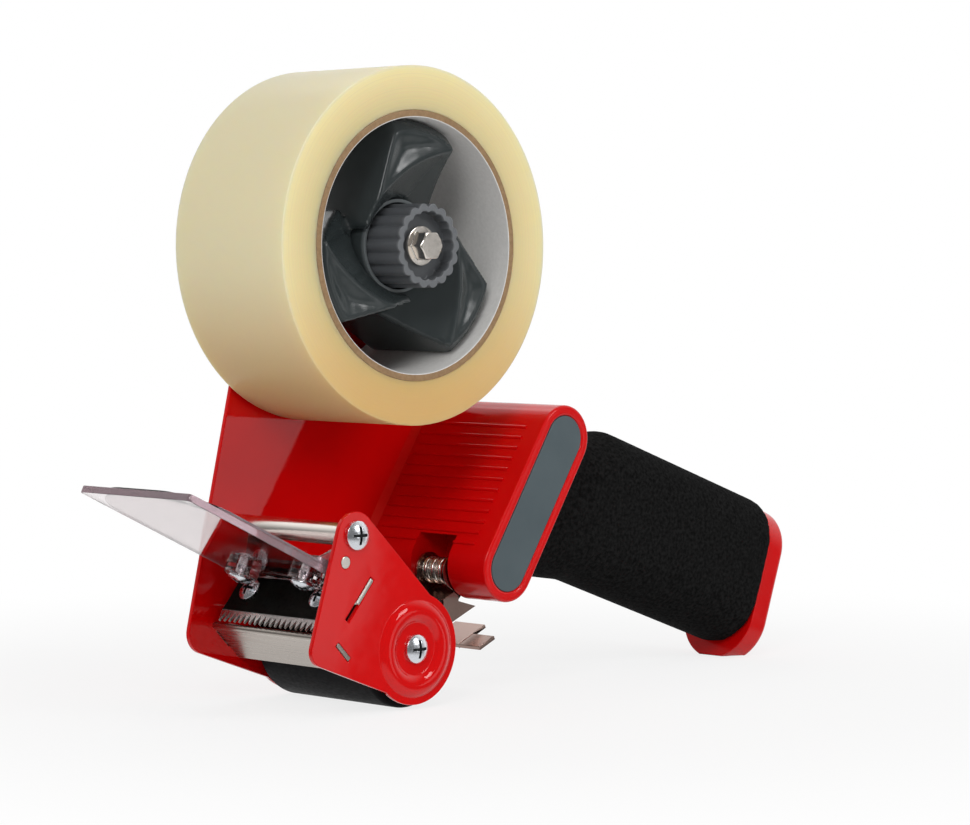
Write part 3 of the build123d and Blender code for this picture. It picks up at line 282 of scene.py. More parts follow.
def grained(name, colour, patch, patch_scale, grain_scale, depth, gloss, stretch=(1, 1, 1), **plain):
    """Material with the surface grain on its Principled shader; plain values are set on the shader."""
    material = bpy.data.materials.new(name)
    material.use_nodes = True
    tree = material.node_tree
    shader = tree.nodes["Principled BSDF"]
    grain = tree.nodes.new("ShaderNodeGroup")
    grain.node_tree = surface_grain
    grain.inputs["Colour"].default_value = (*colour, 1)
    grain.inputs["Patch Colour"].default_value = (*patch, 1)
    grain.inputs["Patch Scale"].default_value = patch_scale
    grain.inputs["Grain Scale"].default_value = grain_scale
    grain.inputs["Grain Depth"].default_value = depth
    grain.inputs["Gloss Low"].default_value = gloss[0]
    grain.inputs["Gloss High"].default_value = gloss[1]
    grain.inputs["Stretch"].default_value = stretch
    tree.links.new(grain.outputs["Colour"], shader.inputs["Base Color"])
    tree.links.new(grain.outputs["Roughness"], shader.inputs["Roughness"])
    tree.links.new(grain.outputs["Normal"], shader.inputs["Normal"])
    for socket, value in plain.items():
        shader.inputs[SOCKETS[socket]].default_value = value
    return material


def level_shading(piece):
    """Smooth shading across eased edges that keeps the flat faces between them level."""
    bpy.ops.object.select_all(action="DESELECT")
    bpy.context.view_layer.objects.active = piece
    piece.select_set(True)
    bpy.ops.mesh.customdata_custom_splitnormals_clear()
    bpy.ops.object.shade_smooth_by_angle(angle=SMOOTH_ANGLE)
    level = piece.modifiers.new("level", "WEIGHTED_NORMAL")
    level.keep_sharp = True
    level.weight = FLAT_WEIGHT
    bpy.ops.object.modifier_apply(modifier=level.name)


def eased_copy(node, name, width, material, rims=(), sharp=32, swell=0, merge=0.4):
    """Copy of a CAD node with its sharp edges eased and its skin moved out by swell.

    Each rim is (width, steps, test of an edge's middle). Edges over the sharp angle are eased, after
    neighbours within the merge angle are joined into one face. Both angles are in degrees.
    """
    source = frame["nodes"][node]
    piece = bpy.data.objects.new(name, source.data.copy())
    scene.collection.objects.link(piece)
    bpy.ops.object.select_all(action="DESELECT")
    bpy.context.view_layer.objects.active = piece
    piece.select_set(True)
    bpy.ops.object.mode_set(mode="EDIT")
    bpy.ops.mesh.customdata_custom_splitnormals_clear()
    bpy.ops.mesh.select_all(action="SELECT")
    bpy.ops.mesh.remove_doubles(threshold=WELD)
    bpy.ops.mesh.dissolve_limited(angle_limit=radians(merge))
    for rim_width, steps, test in (*rims, (width, EASE_STEPS, None)):
        bpy.ops.mesh.select_mode(type="EDGE")
        bpy.ops.mesh.select_all(action="DESELECT")
        bpy.ops.mesh.edges_select_sharp(sharpness=radians(sharp))
        bpy.ops.object.mode_set(mode="OBJECT")
        mesh = piece.data
        chosen = 0
        for edge in mesh.edges:
            middle = (mesh.vertices[edge.vertices[0]].co + mesh.vertices[edge.vertices[1]].co) / 2
            edge.select = edge.select and (test is None or test(middle))
            chosen += edge.select
        bpy.ops.object.mode_set(mode="EDIT")
        if chosen and rim_width:
            bpy.ops.mesh.bevel(offset=rim_width, segments=steps, clamp_overlap=False)
    if swell:
        bpy.ops.mesh.select_all(action="SELECT")
        bpy.ops.transform.shrink_fatten(value=swell)
    bpy.ops.object.mode_set(mode="OBJECT")
    piece.data.materials.clear()
    piece.data.materials.append(material)
    level_shading(piece)
    return piece


BODY_OF = {
    node: body
    for body, nodes in frame["record"]["behaviour"]["bodies"].items()
    for node in nodes
}


def stand_for(piece, slot, *nodes):
    """Show a piece in place of CAD nodes, with their body. The slot is not used."""
    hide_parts(*nodes)
    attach(piece, BODY_OF[nodes[0]])


def eased_piece(node, name, width, material, slot, **how):
    """Eased copy of a CAD node that is shown in its place."""
    piece = eased_copy(node, name, width, material, **how)
    stand_for(piece, slot, node)
    return piece


red_enamel = grained(
    "red_enamel",
    colour=(0.72, 0.0015, 0.002),
    patch=(0.66, 0.001, 0.0015),
    patch_scale=22,
    grain_scale=260,
    depth=0.000004,
    gloss=(0.03, 0.06),
    specular=0.4,
)
eased_piece("side_plate", "side_plate_enamel", PLATE_EASE, red_enamel, "red_paint")
eased_piece("near_cheek", "near_cheek_enamel", PLATE_EASE, red_enamel, "red_paint")


# Guide bar and roller axle: drawn rods between the plates, the bar nickel plated, the axle zinc plated.
# A pan-head screw holds each end through the plate.
ROD_EASE = 0.0003
HEAD_EASE = 0.0001
DRIVE_REACH = 0.006
OFF_FACE = 0.00001
bright_nickel = grained(
    "bright_nickel",
    colour=(0.92, 0.865, 0.8),
    patch=(0.87, 0.815, 0.75),
    patch_scale=60,
    grain_scale=900,
    depth=0.000002,
    gloss=(0.14, 0.24),
    stretch=(1, 0.06, 1),
    metallic=1.0,
)
zinc_plate = grained(
    "zinc_plate",
    colour=(0.84, 0.87, 0.91),
    patch=(0.76, 0.79, 0.83),
    patch_scale=240,
    grain_scale=1500,
    depth=0.000004,
    gloss=(0.2, 0.32),
    metallic=1.0,
)
eased_piece("guide_bar", "guide_bar_nickel", ROD_EASE, bright_nickel, "nickel")
eased_piece("roller_axle", "roller_axle_zinc", ROD_EASE, zinc_plate, "zinc")
# Near-black zinc for the screws' cross recesses: painted shade for the depth of the recess.
drive_recess_painted_shade = grained(
    "drive_recess_painted_shade",
    colour=(0.018, 0.02, 0.022),
    patch=(0.05, 0.053, 0.057),
    patch_scale=500,
    grain_scale=1500,
    depth=0.000006,
    gloss=(0.4, 0.55),
    metallic=0.6,
)


def pan_heads(node, name):
    """Zinc-plated pan-head screws with a cross recess painted dark, as painted shade.

    The recess is each face that looks at its own head close by, or has it on all four sides.
    """
    piece = eased_piece(node, name, HEAD_EASE, zinc_plate, "zinc")
    piece.data.materials.append(drive_recess_painted_shade)
    bpy.context.view_layer.update()
    for face in piece.data.polygons:
        start = face.center + face.normal * OFF_FACE
        across = face.normal.orthogonal()
        along = face.normal.cross(across)
        ahead = piece.ray_cast(start, face.normal, distance=DRIVE_REACH)[0]
        around = [
            piece.ray_cast(start, way, distance=DRIVE_REACH)[0]
            for way in (across, along, -across, -along)
        ]
        # Faces in the recess get the painted shade.
        if ahead or all(around):
            face.material_index = 1


pan_heads("guide_bar_screws", "guide_bar_pan_heads")
pan_heads("roller_axle_screws", "roller_axle_pan_heads")


# Press roller: a moulded core with a thick sleeve of matte dark rubber, free to turn on the axle.
# The rubber is ground, which leaves fine marks around it.
SLEEVE_WALL = 0.005
SLEEVE_ROUND = 0.0009
SLEEVE_STEPS = 160
CORE_EASE = 0.0003
CORNER_STEPS = 4


def turned_piece(name, centre, half_width, inner, outer, rounding, steps, material, slot, node):
    """Ring turned about a Y axis: a cross-section with rounded corners, spun all the way round."""
    bpy.ops.object.select_all(action="DESELECT")
    middle = centre + Vector(((inner + outer) / 2, 0, 0))
    bpy.ops.mesh.primitive_plane_add(size=1, location=middle)
    piece = bpy.context.object
    piece.name = name
    piece.scale = (outer - inner, 2 * half_width, 1)
    bpy.ops.object.transform_apply(location=True, rotation=True, scale=True)
    bpy.ops.object.mode_set(mode="EDIT")
    bpy.ops.mesh.select_all(action="SELECT")
    bpy.ops.mesh.bevel(offset=rounding, segments=CORNER_STEPS, affect="VERTICES")
    bpy.ops.mesh.select_all(action="SELECT")
    bpy.ops.mesh.delete(type="ONLY_FACE")
    bpy.ops.mesh.select_all(action="SELECT")
    bpy.ops.mesh.spin(steps=steps, angle=2 * pi, center=centre, axis=(0, 1, 0))
    bpy.ops.mesh.select_all(action="SELECT")
    bpy.ops.mesh.remove_doubles(threshold=WELD)
    bpy.ops.mesh.normals_make_consistent(inside=False)
    bpy.ops.object.mode_set(mode="OBJECT")
    bpy.ops.object.shade_smooth_by_angle(angle=SMOOTH_ANGLE)
    piece.data.materials.append(material)
    stand_for(piece, slot, node)


axle_low, axle_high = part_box("roller_axle")
axle_place = (axle_low + axle_high) / 2
sleeve_low, sleeve_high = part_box("roller_sleeve")
SLEEVE_R = (sleeve_high.z - sleeve_low.z) / 2
roller_rubber = grained(
    "roller_rubber",
    colour=(0.008, 0.008, 0.009),
    patch=(0.013, 0.013, 0.014),
    patch_scale=90,
    grain_scale=1400,
    depth=0.00002,
    gloss=(0.5, 0.68),
    stretch=(1, 0.5, 1),
    specular=0.06,
)
turned_piece(
    "press_roller_sleeve",
    centre=axle_place,
    half_width=(sleeve_high.y - sleeve_low.y) / 2,
    inner=SLEEVE_R - SLEEVE_WALL,
    outer=SLEEVE_R,
    rounding=SLEEVE_ROUND,
    steps=SLEEVE_STEPS,
    material=roller_rubber,
    slot="roller_rubber",
    node="roller_sleeve",
)
dark_moulding = grained(
    "dark_grey_moulding",
    colour=(0.028, 0.035, 0.036),
    patch=(0.033, 0.041, 0.042),
    patch_scale=30,
    grain_scale=240,
    depth=0.000002,
    gloss=(0.18, 0.25),
    specular=0.5,
)
eased_piece("roller_core", "press_roller_core", CORE_EASE, dark_moulding, "dark_plastic")


# Tape shield: a nickel-plated sheet with a rolled upper edge and a brushed face.
# Its tabs sit in the short slots of the two plates.
SHIELD_EASE = 0.00015
# Painted shade: the shield's nickel is a darker copy of the bright nickel, to dim what its face
# mirrors.
brushed_nickel_painted_shade = grained(
    "brushed_nickel_painted_shade",
    colour=(0.52, 0.465, 0.42),
    patch=(0.4, 0.36, 0.325),
    patch_scale=40,
    grain_scale=1200,
    depth=0.000008,
    gloss=(0.2, 0.34),
    stretch=(1, 0.04, 1),
    metallic=1.0,
)
eased_piece("tape_shield", "tape_shield_nickel", SHIELD_EASE, brushed_nickel_painted_shade, "nickel")


# Cutter: a nickel carriage that slides in the long slots, with a black seat on it. The blade,
# blackened but for its ground teeth, is screwed to the seat.
CARRIAGE_EASE = 0.0002
SEAT_EASE = 0.0003
TOOTH_EASE = 0.00006
# Way in which the carriage slides out, and how far along it the ground teeth begin.
SLIDE_DOWN = (-0.6468, 0, -0.7627)
TEETH_FROM = 0.0322
GROUND_EDGE = 0.0004
GROUND_STEEL = (0.56, 0.55, 0.53)
# The seat is black paint, made darker still as painted shade for the shadow it lies in.
black_steel = grained(
    "black_steel",
    colour=(0.003, 0.003, 0.003),
    patch=(0.005, 0.005, 0.005),
    patch_scale=60,
    grain_scale=400,
    depth=0.000004,
    gloss=(0.3, 0.42),
    specular=0.01,
)
toothed_steel = grained(
    "toothed_steel",
    colour=(0.006, 0.0055, 0.005),
    patch=(0.01, 0.009, 0.008),
    patch_scale=150,
    grain_scale=900,
    depth=0.000004,
    gloss=(0.24, 0.36),
    specular=0.02,
)


def tone_along(material, direction, start, end, colour):
    """Blend a material's colour into another along a direction; gives back the share of the other."""
    tree = material.node_tree
    shader = tree.nodes["Principled BSDF"]
    place = tree.nodes.new("ShaderNodeTexCoord")
    reach = tree.nodes.new("ShaderNodeVectorMath")
    reach.operation = "DOT_PRODUCT"
    reach.inputs[1].default_value = direction
    tree.links.new(place.outputs["Object"], reach.inputs[0])
    share = tree.nodes.new("ShaderNodeMapRange")
    share.inputs["From Min"].default_value = start
    share.inputs["From Max"].default_value = end
    tree.links.new(reach.outputs["Value"], share.inputs["Value"])
    tone = tree.nodes.new("ShaderNodeMix")
    tone.data_type = "RGBA"
    tone.inputs["B"].default_value = (*colour, 1)
    tree.links.new(share.outputs["Result"], tone.inputs["Factor"])
    tree.links.new(shader.inputs["Base Color"].links[0].from_socket, tone.inputs["A"])
    tree.links.new(tone.outputs["Result"], shader.inputs["Base Color"])
    return share.outputs["Result"]


ground = tone_along(toothed_steel, SLIDE_DOWN, TEETH_FROM, TEETH_FROM + GROUND_EDGE, GROUND_STEEL)
blade_tree = toothed_steel.node_tree
blade_tree.links.new(ground, blade_tree.nodes["Principled BSDF"].inputs["Metallic"])
eased_piece("blade_carriage", "blade_carriage_nickel", CARRIAGE_EASE, bright_nickel, "nickel")
eased_piece("blade_seat", "blade_seat_black", SEAT_EASE, black_steel, "black_steel")
eased_piece("cutter_blade", "cutter_blade_toothed", TOOTH_EASE, toothed_steel, "blade_steel")
pan_heads("blade_screws", "blade_pan_heads")


# Clear flap: a broad sheet with a thinner leaf on top, cut from clear plastic with polished edges.
# A clear bracket on two nickel pins clamps them at the rear, by two screws through the bosses.
# The three clear pieces lie a hair apart, and their cut edges are lilac.
SHEET_EASE = 0.0002
LEAF_EASE = 0.0001
BRACKET_EASE = 0.00015
PIN_EASE = 0.0002
CLEAR_GAP = 0.00002
CLEAR_TINT = (0.8, 0.75, 0.755)
CLEAR_IOR = 1.46
HAZE_SCALE = 160
HAZE_DETAIL = 5
HAZE_SPAN = (0.45, 0.8)
HAZE_GLOSS = (0.012, 0.09)
EDGE_REACH = 0.0012
EDGE_LEAN = 0.5


def clear_sheet(name, tint):
    """Clear plastic with a faint haze of fine scratches."""
    material = bpy.data.materials.new(name)
    material.use_nodes = True
    tree = material.node_tree
    shader = tree.nodes["Principled BSDF"]
    shader.inputs["Base Color"].default_value = (*tint, 1)
    shader.inputs["Transmission Weight"].default_value = 1.0
    shader.inputs["IOR"].default_value = CLEAR_IOR
    place = tree.nodes.new("ShaderNodeTexCoord")
    haze = tree.nodes.new("ShaderNodeTexNoise")
    haze.inputs["Scale"].default_value = HAZE_SCALE
    haze.inputs["Detail"].default_value = HAZE_DETAIL
    tree.links.new(place.outputs["Object"], haze.inputs["Vector"])
    gloss = tree.nodes.new("ShaderNodeMapRange")
    gloss.inputs["From Min"].default_value = HAZE_SPAN[0]
    gloss.inputs["From Max"].default_value = HAZE_SPAN[1]
    gloss.inputs["To Min"].default_value = HAZE_GLOSS[0]
    gloss.inputs["To Max"].default_value = HAZE_GLOSS[1]
    tree.links.new(haze.outputs["Fac"], gloss.inputs["Value"])
    tree.links.new(gloss.outputs["Result"], shader.inputs["Roughness"])
    return material


clear_plastic = clear_sheet("clear_flap_plastic", CLEAR_TINT)
lilac_edge = grained(
    "lilac_cut_edge",
    colour=(0.66, 0.46, 0.52),
    patch=(0.72, 0.53, 0.59),
    patch_scale=30,
    grain_scale=300,
    depth=0.000001,
    gloss=(0.1, 0.16),
    transmission=0.7,
)
flap_low, flap_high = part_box("flap")
sheet_run = Vector((flap_high.x - flap_low.x, 0, flap_low.z - flap_high.z)).normalized()
sheet_way = sheet_run.cross(Vector((0, 1, 0)))
for clear_node, clear_name, clear_ease in (
    ("flap", "flap_clear_sheet", SHEET_EASE),
    ("flap_leaf", "flap_clear_leaf", LEAF_EASE),
    ("flap_bracket", "flap_clear_bracket", BRACKET_EASE),
):
    sheet = eased_piece(
        clear_node, clear_name, clear_ease, clear_plastic, "clear_plastic", swell=-CLEAR_GAP
    )
    sheet.data.materials.append(lilac_edge)
    for face in sheet.data.polygons:
        to_side = min(face.center.y - flap_low.y, flap_high.y - face.center.y)
        to_edge = min(to_side, face.center.x - flap_low.x)
        if to_edge < EDGE_REACH and abs(face.normal.dot(sheet_way)) < EDGE_LEAN:
            face.material_index = 1
eased_piece("flap_pins", "flap_pins_nickel", PIN_EASE, bright_nickel, "nickel")
pan_heads("flap_screws", "flap_pan_heads")


# Handle housing: a glossy red moulding with fine ribs on its front, screwed to the side plate, where
# its front flares out. Its near end has a rounded rim around a matte blue-grey inlay.
RIM_EASE = 0.0009
RIM_STEPS = 3
HOUSING_R = 0.0105
FLARE = 0.002
AT_FACE = 0.0001
ROUND_SLACK = 0.0002
INLAY_EASE = 0.0003
red_moulding = grained(
    "red_moulding",
    colour=(0.7, 0.002, 0.003),
    patch=(0.63, 0.0015, 0.002),
    patch_scale=26,
    grain_scale=300,
    depth=0.000004,
    gloss=(0.16, 0.25),
    specular=0.3,
)
grey_inlay = grained(
    "grey_inlay",
    colour=(0.085, 0.112, 0.124),
    patch=(0.096, 0.125, 0.137),
    patch_scale=50,
    grain_scale=2600,
    depth=0.00001,
    gloss=(0.42, 0.56),
    specular=0.2,
)
housing_low, housing_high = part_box("housing")
near_rim = (RIM_EASE, RIM_STEPS, lambda middle: middle.y < housing_low.y + AT_FACE)
housing = eased_copy("housing", "housing_red", 0, red_moulding, rims=(near_rim,), merge=0)
low_end = Vector((housing_low.x + HOUSING_R, 0, housing_low.z + HOUSING_R))
high_end = Vector((housing_high.x - HOUSING_R, 0, housing_high.z - HOUSING_R))
housing_up = (high_end - low_end).normalized()
housing_front = Vector((-housing_up.z, 0, housing_up.x))
bpy.ops.object.mode_set(mode="EDIT")
bpy.ops.mesh.select_all(action="SELECT")
bpy.ops.mesh.bisect(plane_co=(0, housing_high.y - FLARE, 0), plane_no=(0, 1, 0))
bpy.ops.object.mode_set(mode="OBJECT")
for vertex in housing.data.vertices:
    flat = Vector((vertex.co.x, 0, vertex.co.z))
    climb = min(max((flat - low_end).dot(housing_up), 0), (high_end - low_end).length)
    outward = flat - low_end - housing_up * climb
    if vertex.co.y > housing_high.y - AT_FACE and outward.length > HOUSING_R - ROUND_SLACK:
        vertex.co += outward.normalized() * FLARE * max(outward.normalized().dot(housing_front), 0)
level_shading(housing)
stand_for(housing, "red_plastic", "housing")
eased_piece("housing_inlay", "housing_inlay_grey", INLAY_EASE, grey_inlay, "grey_inlay")
pan_heads("housing_screws", "housing_pan_heads")


# Anti-rollback lever: bent nickel-plated sheet that swings on a zinc-plated pin in the housing's
# notch, with a coil of bright spring wire around the pin.
LEVER_EASE = 0.00015
LEVER_PIN_EASE = 0.0002
COIL_SHARP = 60
spring_steel = grained(
    "spring_steel",
    colour=(0.9, 0.84, 0.75),
    patch=(0.8, 0.74, 0.66),
    patch_scale=300,
    grain_scale=1500,
    depth=0.000006,
    gloss=(0.18, 0.3),
    metallic=1.0,
)
# The lever's nickel is painted darker and redder than its plating: a painted dark red reflection of the
# housing and plates around it.
lever_nickel_painted_reflection = grained(
    "lever_nickel_painted_reflection",
    colour=(0.36, 0.25, 0.215),
    patch=(0.33, 0.225, 0.195),
    patch_scale=60,
    grain_scale=300,
    depth=0.0000005,
    gloss=(0.2, 0.25),
    metallic=1.0,
)
eased_piece("rollback_lever", "rollback_lever_nickel", LEVER_EASE, lever_nickel_painted_reflection, "nickel")
eased_piece("lever_pin", "lever_pin_zinc", LEVER_PIN_EASE, zinc_plate, "zinc")
eased_piece("lever_spring", "lever_coil", 0, spring_steel, "spring_steel", sharp=COIL_SHARP)


# Grip: a moulded core under a sleeve of black closed-cell foam, closed by a red cap with a foot.
# The foam's skin is remeshed evenly and softened; one screw holds the cap to the core.
FOAM_VOXEL = 0.0014
FOAM_ROUNDS = 12
FOAM_SWELL = 0.0004
SOFT_FACTOR = 0.5
CAP_EASE = 0.0006
foam_black = grained(
    "foam_black",
    colour=(0.005, 0.005, 0.005),
    patch=(0.015, 0.015, 0.015),
    patch_scale=900,
    grain_scale=1500,
    depth=0.0003,
    gloss=(0.75, 0.95),
    specular=0.02,
)
frame["nodes"]["grip_core"].material_slots[0].material = dark_moulding


def even_skin(node, name, voxel, material):
    """Copy of a CAD node with an even skin of small faces, ready to be softened."""
    piece = bpy.data.objects.new(name, frame["nodes"][node].data.copy())
    scene.collection.objects.link(piece)
    bpy.ops.object.select_all(action="DESELECT")
    bpy.context.view_layer.objects.active = piece
    piece.select_set(True)
    bpy.ops.object.mode_set(mode="EDIT")
    bpy.ops.mesh.customdata_custom_splitnormals_clear()
    bpy.ops.mesh.select_all(action="SELECT")
    bpy.ops.mesh.remove_doubles(threshold=WELD)
    bpy.ops.object.mode_set(mode="OBJECT")
    skin = piece.modifiers.new("skin", "REMESH")
    skin.mode = "VOXEL"
    skin.voxel_size = voxel
    bpy.ops.object.modifier_apply(modifier=skin.name)
    piece.data.materials.clear()
    piece.data.materials.append(material)
    return piece


def soften(piece, rounds, swell=0):
    """Round off the corners of an even skin, and move it out by swell."""
    bpy.ops.object.select_all(action="DESELECT")
    bpy.context.view_layer.objects.active = piece
    piece.select_set(True)
    soft = piece.modifiers.new("soft", "SMOOTH")
    soft.factor = SOFT_FACTOR
    soft.iterations = rounds
    bpy.ops.object.modifier_apply(modifier=soft.name)
    if swell:
        bpy.ops.object.mode_set(mode="EDIT")
        bpy.ops.mesh.select_all(action="SELECT")
        bpy.ops.transform.shrink_fatten(value=swell)
        bpy.ops.object.mode_set(mode="OBJECT")
    bpy.ops.object.shade_smooth()


foam = even_skin("foam_grip", "foam_sleeve", FOAM_VOXEL, foam_black)
soften(foam, FOAM_ROUNDS, swell=FOAM_SWELL)
stand_for(foam, "foam", "foam_grip")
eased_piece("end_cap", "end_cap_red", CAP_EASE, red_moulding, "red_plastic")
pan_heads("end_cap_screw", "end_cap_pan_head")


# Spindle: a zinc-plated tube with a flange, which carries the hub.
# A hexagon nut holds it through the side plate.
SPINDLE_EASE = 0.0002
NUT_EASE = 0.0003
eased_piece("spindle", "spindle_zinc", SPINDLE_EASE, zinc_plate, "zinc")
eased_piece("spindle_nut", "spindle_nut_zinc", NUT_EASE, zinc_plate, "zinc")


# Tape hub: a dark grey moulding with three scooped vanes around a collar, free to turn on the spindle.
# The vanes' front faces are dished away from their lips and softened; the collar's front rim is painted
# paler, a painted highlight along its edge.
HUB_EASE = 0.0004
# Band at the collar's front rim and its paler grey: a painted highlight.
COLLAR_HIGHLIGHT_BAND = (0.0016, 0.0006)
COLLAR_HIGHLIGHT_GREY = (0.13, 0.145, 0.15)
TO_NEAR_SIDE = (0, -1, 0)
VANE_VOXEL = 0.0008
VANE_ROUNDS = 12
DISH_DEPTH = 0.0024
DISH_REACH = 0.009
FACE_LEAN = 0.9
collar_moulding = grained(
    "collar_moulding",
    colour=(0.04, 0.049, 0.051),
    patch=(0.05, 0.06, 0.062),
    patch_scale=30,
    grain_scale=240,
    depth=0.000003,
    gloss=(0.1, 0.17),
    specular=0.5,
)
collar_front = -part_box("hub_wheel")[0].y
highlight_from, highlight_to = (collar_front - depth for depth in COLLAR_HIGHLIGHT_BAND)
# A painted highlight: the collar's front rim is toned paler grey.
tone_along(collar_moulding, TO_NEAR_SIDE, highlight_from, highlight_to, COLLAR_HIGHLIGHT_GREY)
eased_piece("hub_wheel", "hub_collar_moulding", HUB_EASE, collar_moulding, "dark_plastic")
eased_piece("hub_flange", "hub_flange_moulding", HUB_EASE, dark_moulding, "dark_plastic")
vanes = even_skin("hub_vanes", "hub_vane_moulding", VANE_VOXEL, dark_moulding)
vane_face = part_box("hub_vanes")[0].y + VANE_VOXEL / 2
facing = {
    spot.index
    for spot in vanes.data.vertices
    if spot.co.y < vane_face and spot.normal.y < -FACE_LEAN
}
lips = set()
for edge in vanes.data.edges:
    within = facing.intersection(edge.vertices)
    if len(within) == 1:
        lips |= within
lip_tree = KDTree(len(lips))
for lip in lips:
    lip_tree.insert(vanes.data.vertices[lip].co, lip)
lip_tree.balance()
for spot in facing:
    away = min(lip_tree.find(vanes.data.vertices[spot].co)[2] / DISH_REACH, 1)
    vanes.data.vertices[spot].co.y += DISH_DEPTH * away * (2 - away)
soften(vanes, VANE_ROUNDS)
stand_for(vanes, "dark_plastic", "hub_vanes")


# Tape roll: clear film with a pale yellow adhesive, wound on a board core with a light grey liner.
# Both are turned rings about the hub's axis, and the film shows its layers on the sides. Its lower part
# is painted amber, as painted light.
ROLL_HEIGHT = 0.1376
ROLL_R = 0.0535
ROLL_ROUND = 0.0003
ROLL_STEPS = 256
CORE_R = 0.0381
CORE_WALL = 0.0022
CORE_ROUND = 0.0002
CORE_STEPS = 192
LINER_WALL = 0.0003
LAYER_SCALE = 2600
LAYER_DETAIL = 4
LAYER_SHARE = 0.12
LAYER_DEPTH = 0.00003
FILM_AT_CORE = (0.8, 0.64, 0.32, 1)
FILM_NEAR_RIM = (0.92, 0.79, 0.45, 1)
FILM_AT_RIM = (0.86, 0.77, 0.52, 1)
FILM_RIM_FROM = 0.93
# Painted light: amber mixed in towards the bottom of the roll, and its greatest share.
FILM_PAINTED_AMBER = (0.68, 0.38, 0.12, 1)
PAINTED_AMBER_SHARE = 0.75
FILM_ROUGHNESS = 0.28
FILM_SPECULAR = 0.04
FILM_GLOW = 0.6
FILM_GLOW_REACH = (0.012, 0.009, 0.005)
FIBRE_SCALE = 900
FIBRE_DETAIL = 5
BOARD_BROWNS = ((0.2, 0.11, 0.045, 1), (0.42, 0.27, 0.14, 1))
LINER_GREYS = ((0.62, 0.61, 0.59, 1), (0.78, 0.77, 0.75, 1))
BOARD_ROUGHNESS = 0.75
bolt_low, bolt_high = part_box("spindle_bolt")
roll_low, roll_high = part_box("tape_winding")
ROLL_PLACE = Vector((bolt_low.x / 2 + bolt_high.x / 2, 0, ROLL_HEIGHT))
TAPE_HALF = (roll_high.y - roll_low.y) / 2


def radius_from_hub(tree):
    """Distance of a point from the roll's axis, in metres, and its place from the roll's middle."""
    place = tree.nodes.new("ShaderNodeTexCoord")
    shift = tree.nodes.new("ShaderNodeMapping")
    shift.inputs["Location"].default_value = (-ROLL_PLACE.x, 0, -ROLL_PLACE.z)
    tree.links.new(place.outputs["Object"], shift.inputs["Vector"])
    flat = tree.nodes.new("ShaderNodeVectorMath")
    flat.operation = "MULTIPLY"
    flat.inputs[1].default_value = (1, 0, 1)
    tree.links.new(shift.outputs["Vector"], flat.inputs[0])
    length = tree.nodes.new("ShaderNodeVectorMath")
    length.operation = "LENGTH"
    tree.links.new(flat.outputs["Vector"], length.inputs[0])
    return length.outputs["Value"], shift.outputs["Vector"]


tape_film = bpy.data.materials.new("wound_tape_film")
tape_film.use_nodes = True
film_tree = tape_film.node_tree
film_shader = film_tree.nodes["Principled BSDF"]
film_radius, film_place = radius_from_hub(film_tree)
layers = film_tree.nodes.new("ShaderNodeTexNoise")
layers.noise_dimensions = "1D"
layers.inputs["Scale"].default_value = LAYER_SCALE
layers.inputs["Detail"].default_value = LAYER_DETAIL
film_tree.links.new(film_radius, layers.inputs["W"])
film_depth = film_tree.nodes.new("ShaderNodeMapRange")
film_depth.inputs["From Min"].default_value = CORE_R
film_depth.inputs["From Max"].default_value = ROLL_R
film_tree.links.new(film_radius, film_depth.inputs["Value"])
film_ramp = film_tree.nodes.new("ShaderNodeValToRGB")
film_ramp.color_ramp.elements[0].position = 0.0
film_ramp.color_ramp.elements[0].color = FILM_AT_CORE
film_ramp.color_ramp.elements[1].position = FILM_RIM_FROM
film_ramp.color_ramp.elements[1].color = FILM_NEAR_RIM
film_rim = film_ramp.color_ramp.elements.new(1.0)
film_rim.color = FILM_AT_RIM
film_tree.links.new(film_depth.outputs["Result"], film_ramp.inputs["Fac"])
film_lines = film_tree.nodes.new("ShaderNodeMix")
film_lines.data_type = "RGBA"
film_lines.blend_type = "MULTIPLY"
film_lines.inputs["Factor"].default_value = LAYER_SHARE
film_tree.links.new(film_ramp.outputs["Color"], film_lines.inputs["A"])
film_tree.links.new(layers.outputs["Color"], film_lines.inputs["B"])
film_height = film_tree.nodes.new("ShaderNodeSeparateXYZ")
film_tree.links.new(film_place, film_height.inputs["Vector"])
# Painted light: the film turns amber towards the bottom of the roll.
film_painted_low = film_tree.nodes.new("ShaderNodeMapRange")
film_painted_low.interpolation_type = "SMOOTHSTEP"
film_painted_low.inputs["From Min"].default_value = 0.0
film_painted_low.inputs["From Max"].default_value = -ROLL_R
film_painted_low.inputs["To Max"].default_value = PAINTED_AMBER_SHARE
film_tree.links.new(film_height.outputs["Z"], film_painted_low.inputs["Value"])
film_painted_amber = film_tree.nodes.new("ShaderNodeMix")
film_painted_amber.data_type = "RGBA"
film_painted_amber.inputs["B"].default_value = FILM_PAINTED_AMBER
film_tree.links.new(film_painted_low.outputs["Result"], film_painted_amber.inputs["Factor"])
film_tree.links.new(film_lines.outputs["Result"], film_painted_amber.inputs["A"])
film_tree.links.new(film_painted_amber.outputs["Result"], film_shader.inputs["Base Color"])
film_shader.inputs["Roughness"].default_value = FILM_ROUGHNESS
film_shader.inputs["Specular IOR Level"].default_value = FILM_SPECULAR
film_shader.inputs["Subsurface Weight"].default_value = FILM_GLOW
film_shader.inputs["Subsurface Radius"].default_value = FILM_GLOW_REACH
film_shader.inputs["Subsurface Scale"].default_value = 1.0
film_bump = film_tree.nodes.new("ShaderNodeBump")
film_bump.inputs["Distance"].default_value = LAYER_DEPTH
film_tree.links.new(layers.outputs["Fac"], film_bump.inputs["Height"])
film_tree.links.new(film_bump.outputs["Normal"], film_shader.inputs["Normal"])
turned_piece(
    "tape_winding_film",
    centre=ROLL_PLACE,
    half_width=TAPE_HALF,
    inner=CORE_R + CORE_WALL,
    outer=ROLL_R,
    rounding=ROLL_ROUND,
    steps=ROLL_STEPS,
    material=tape_film,
    slot="tape",
    node="tape_winding",
)

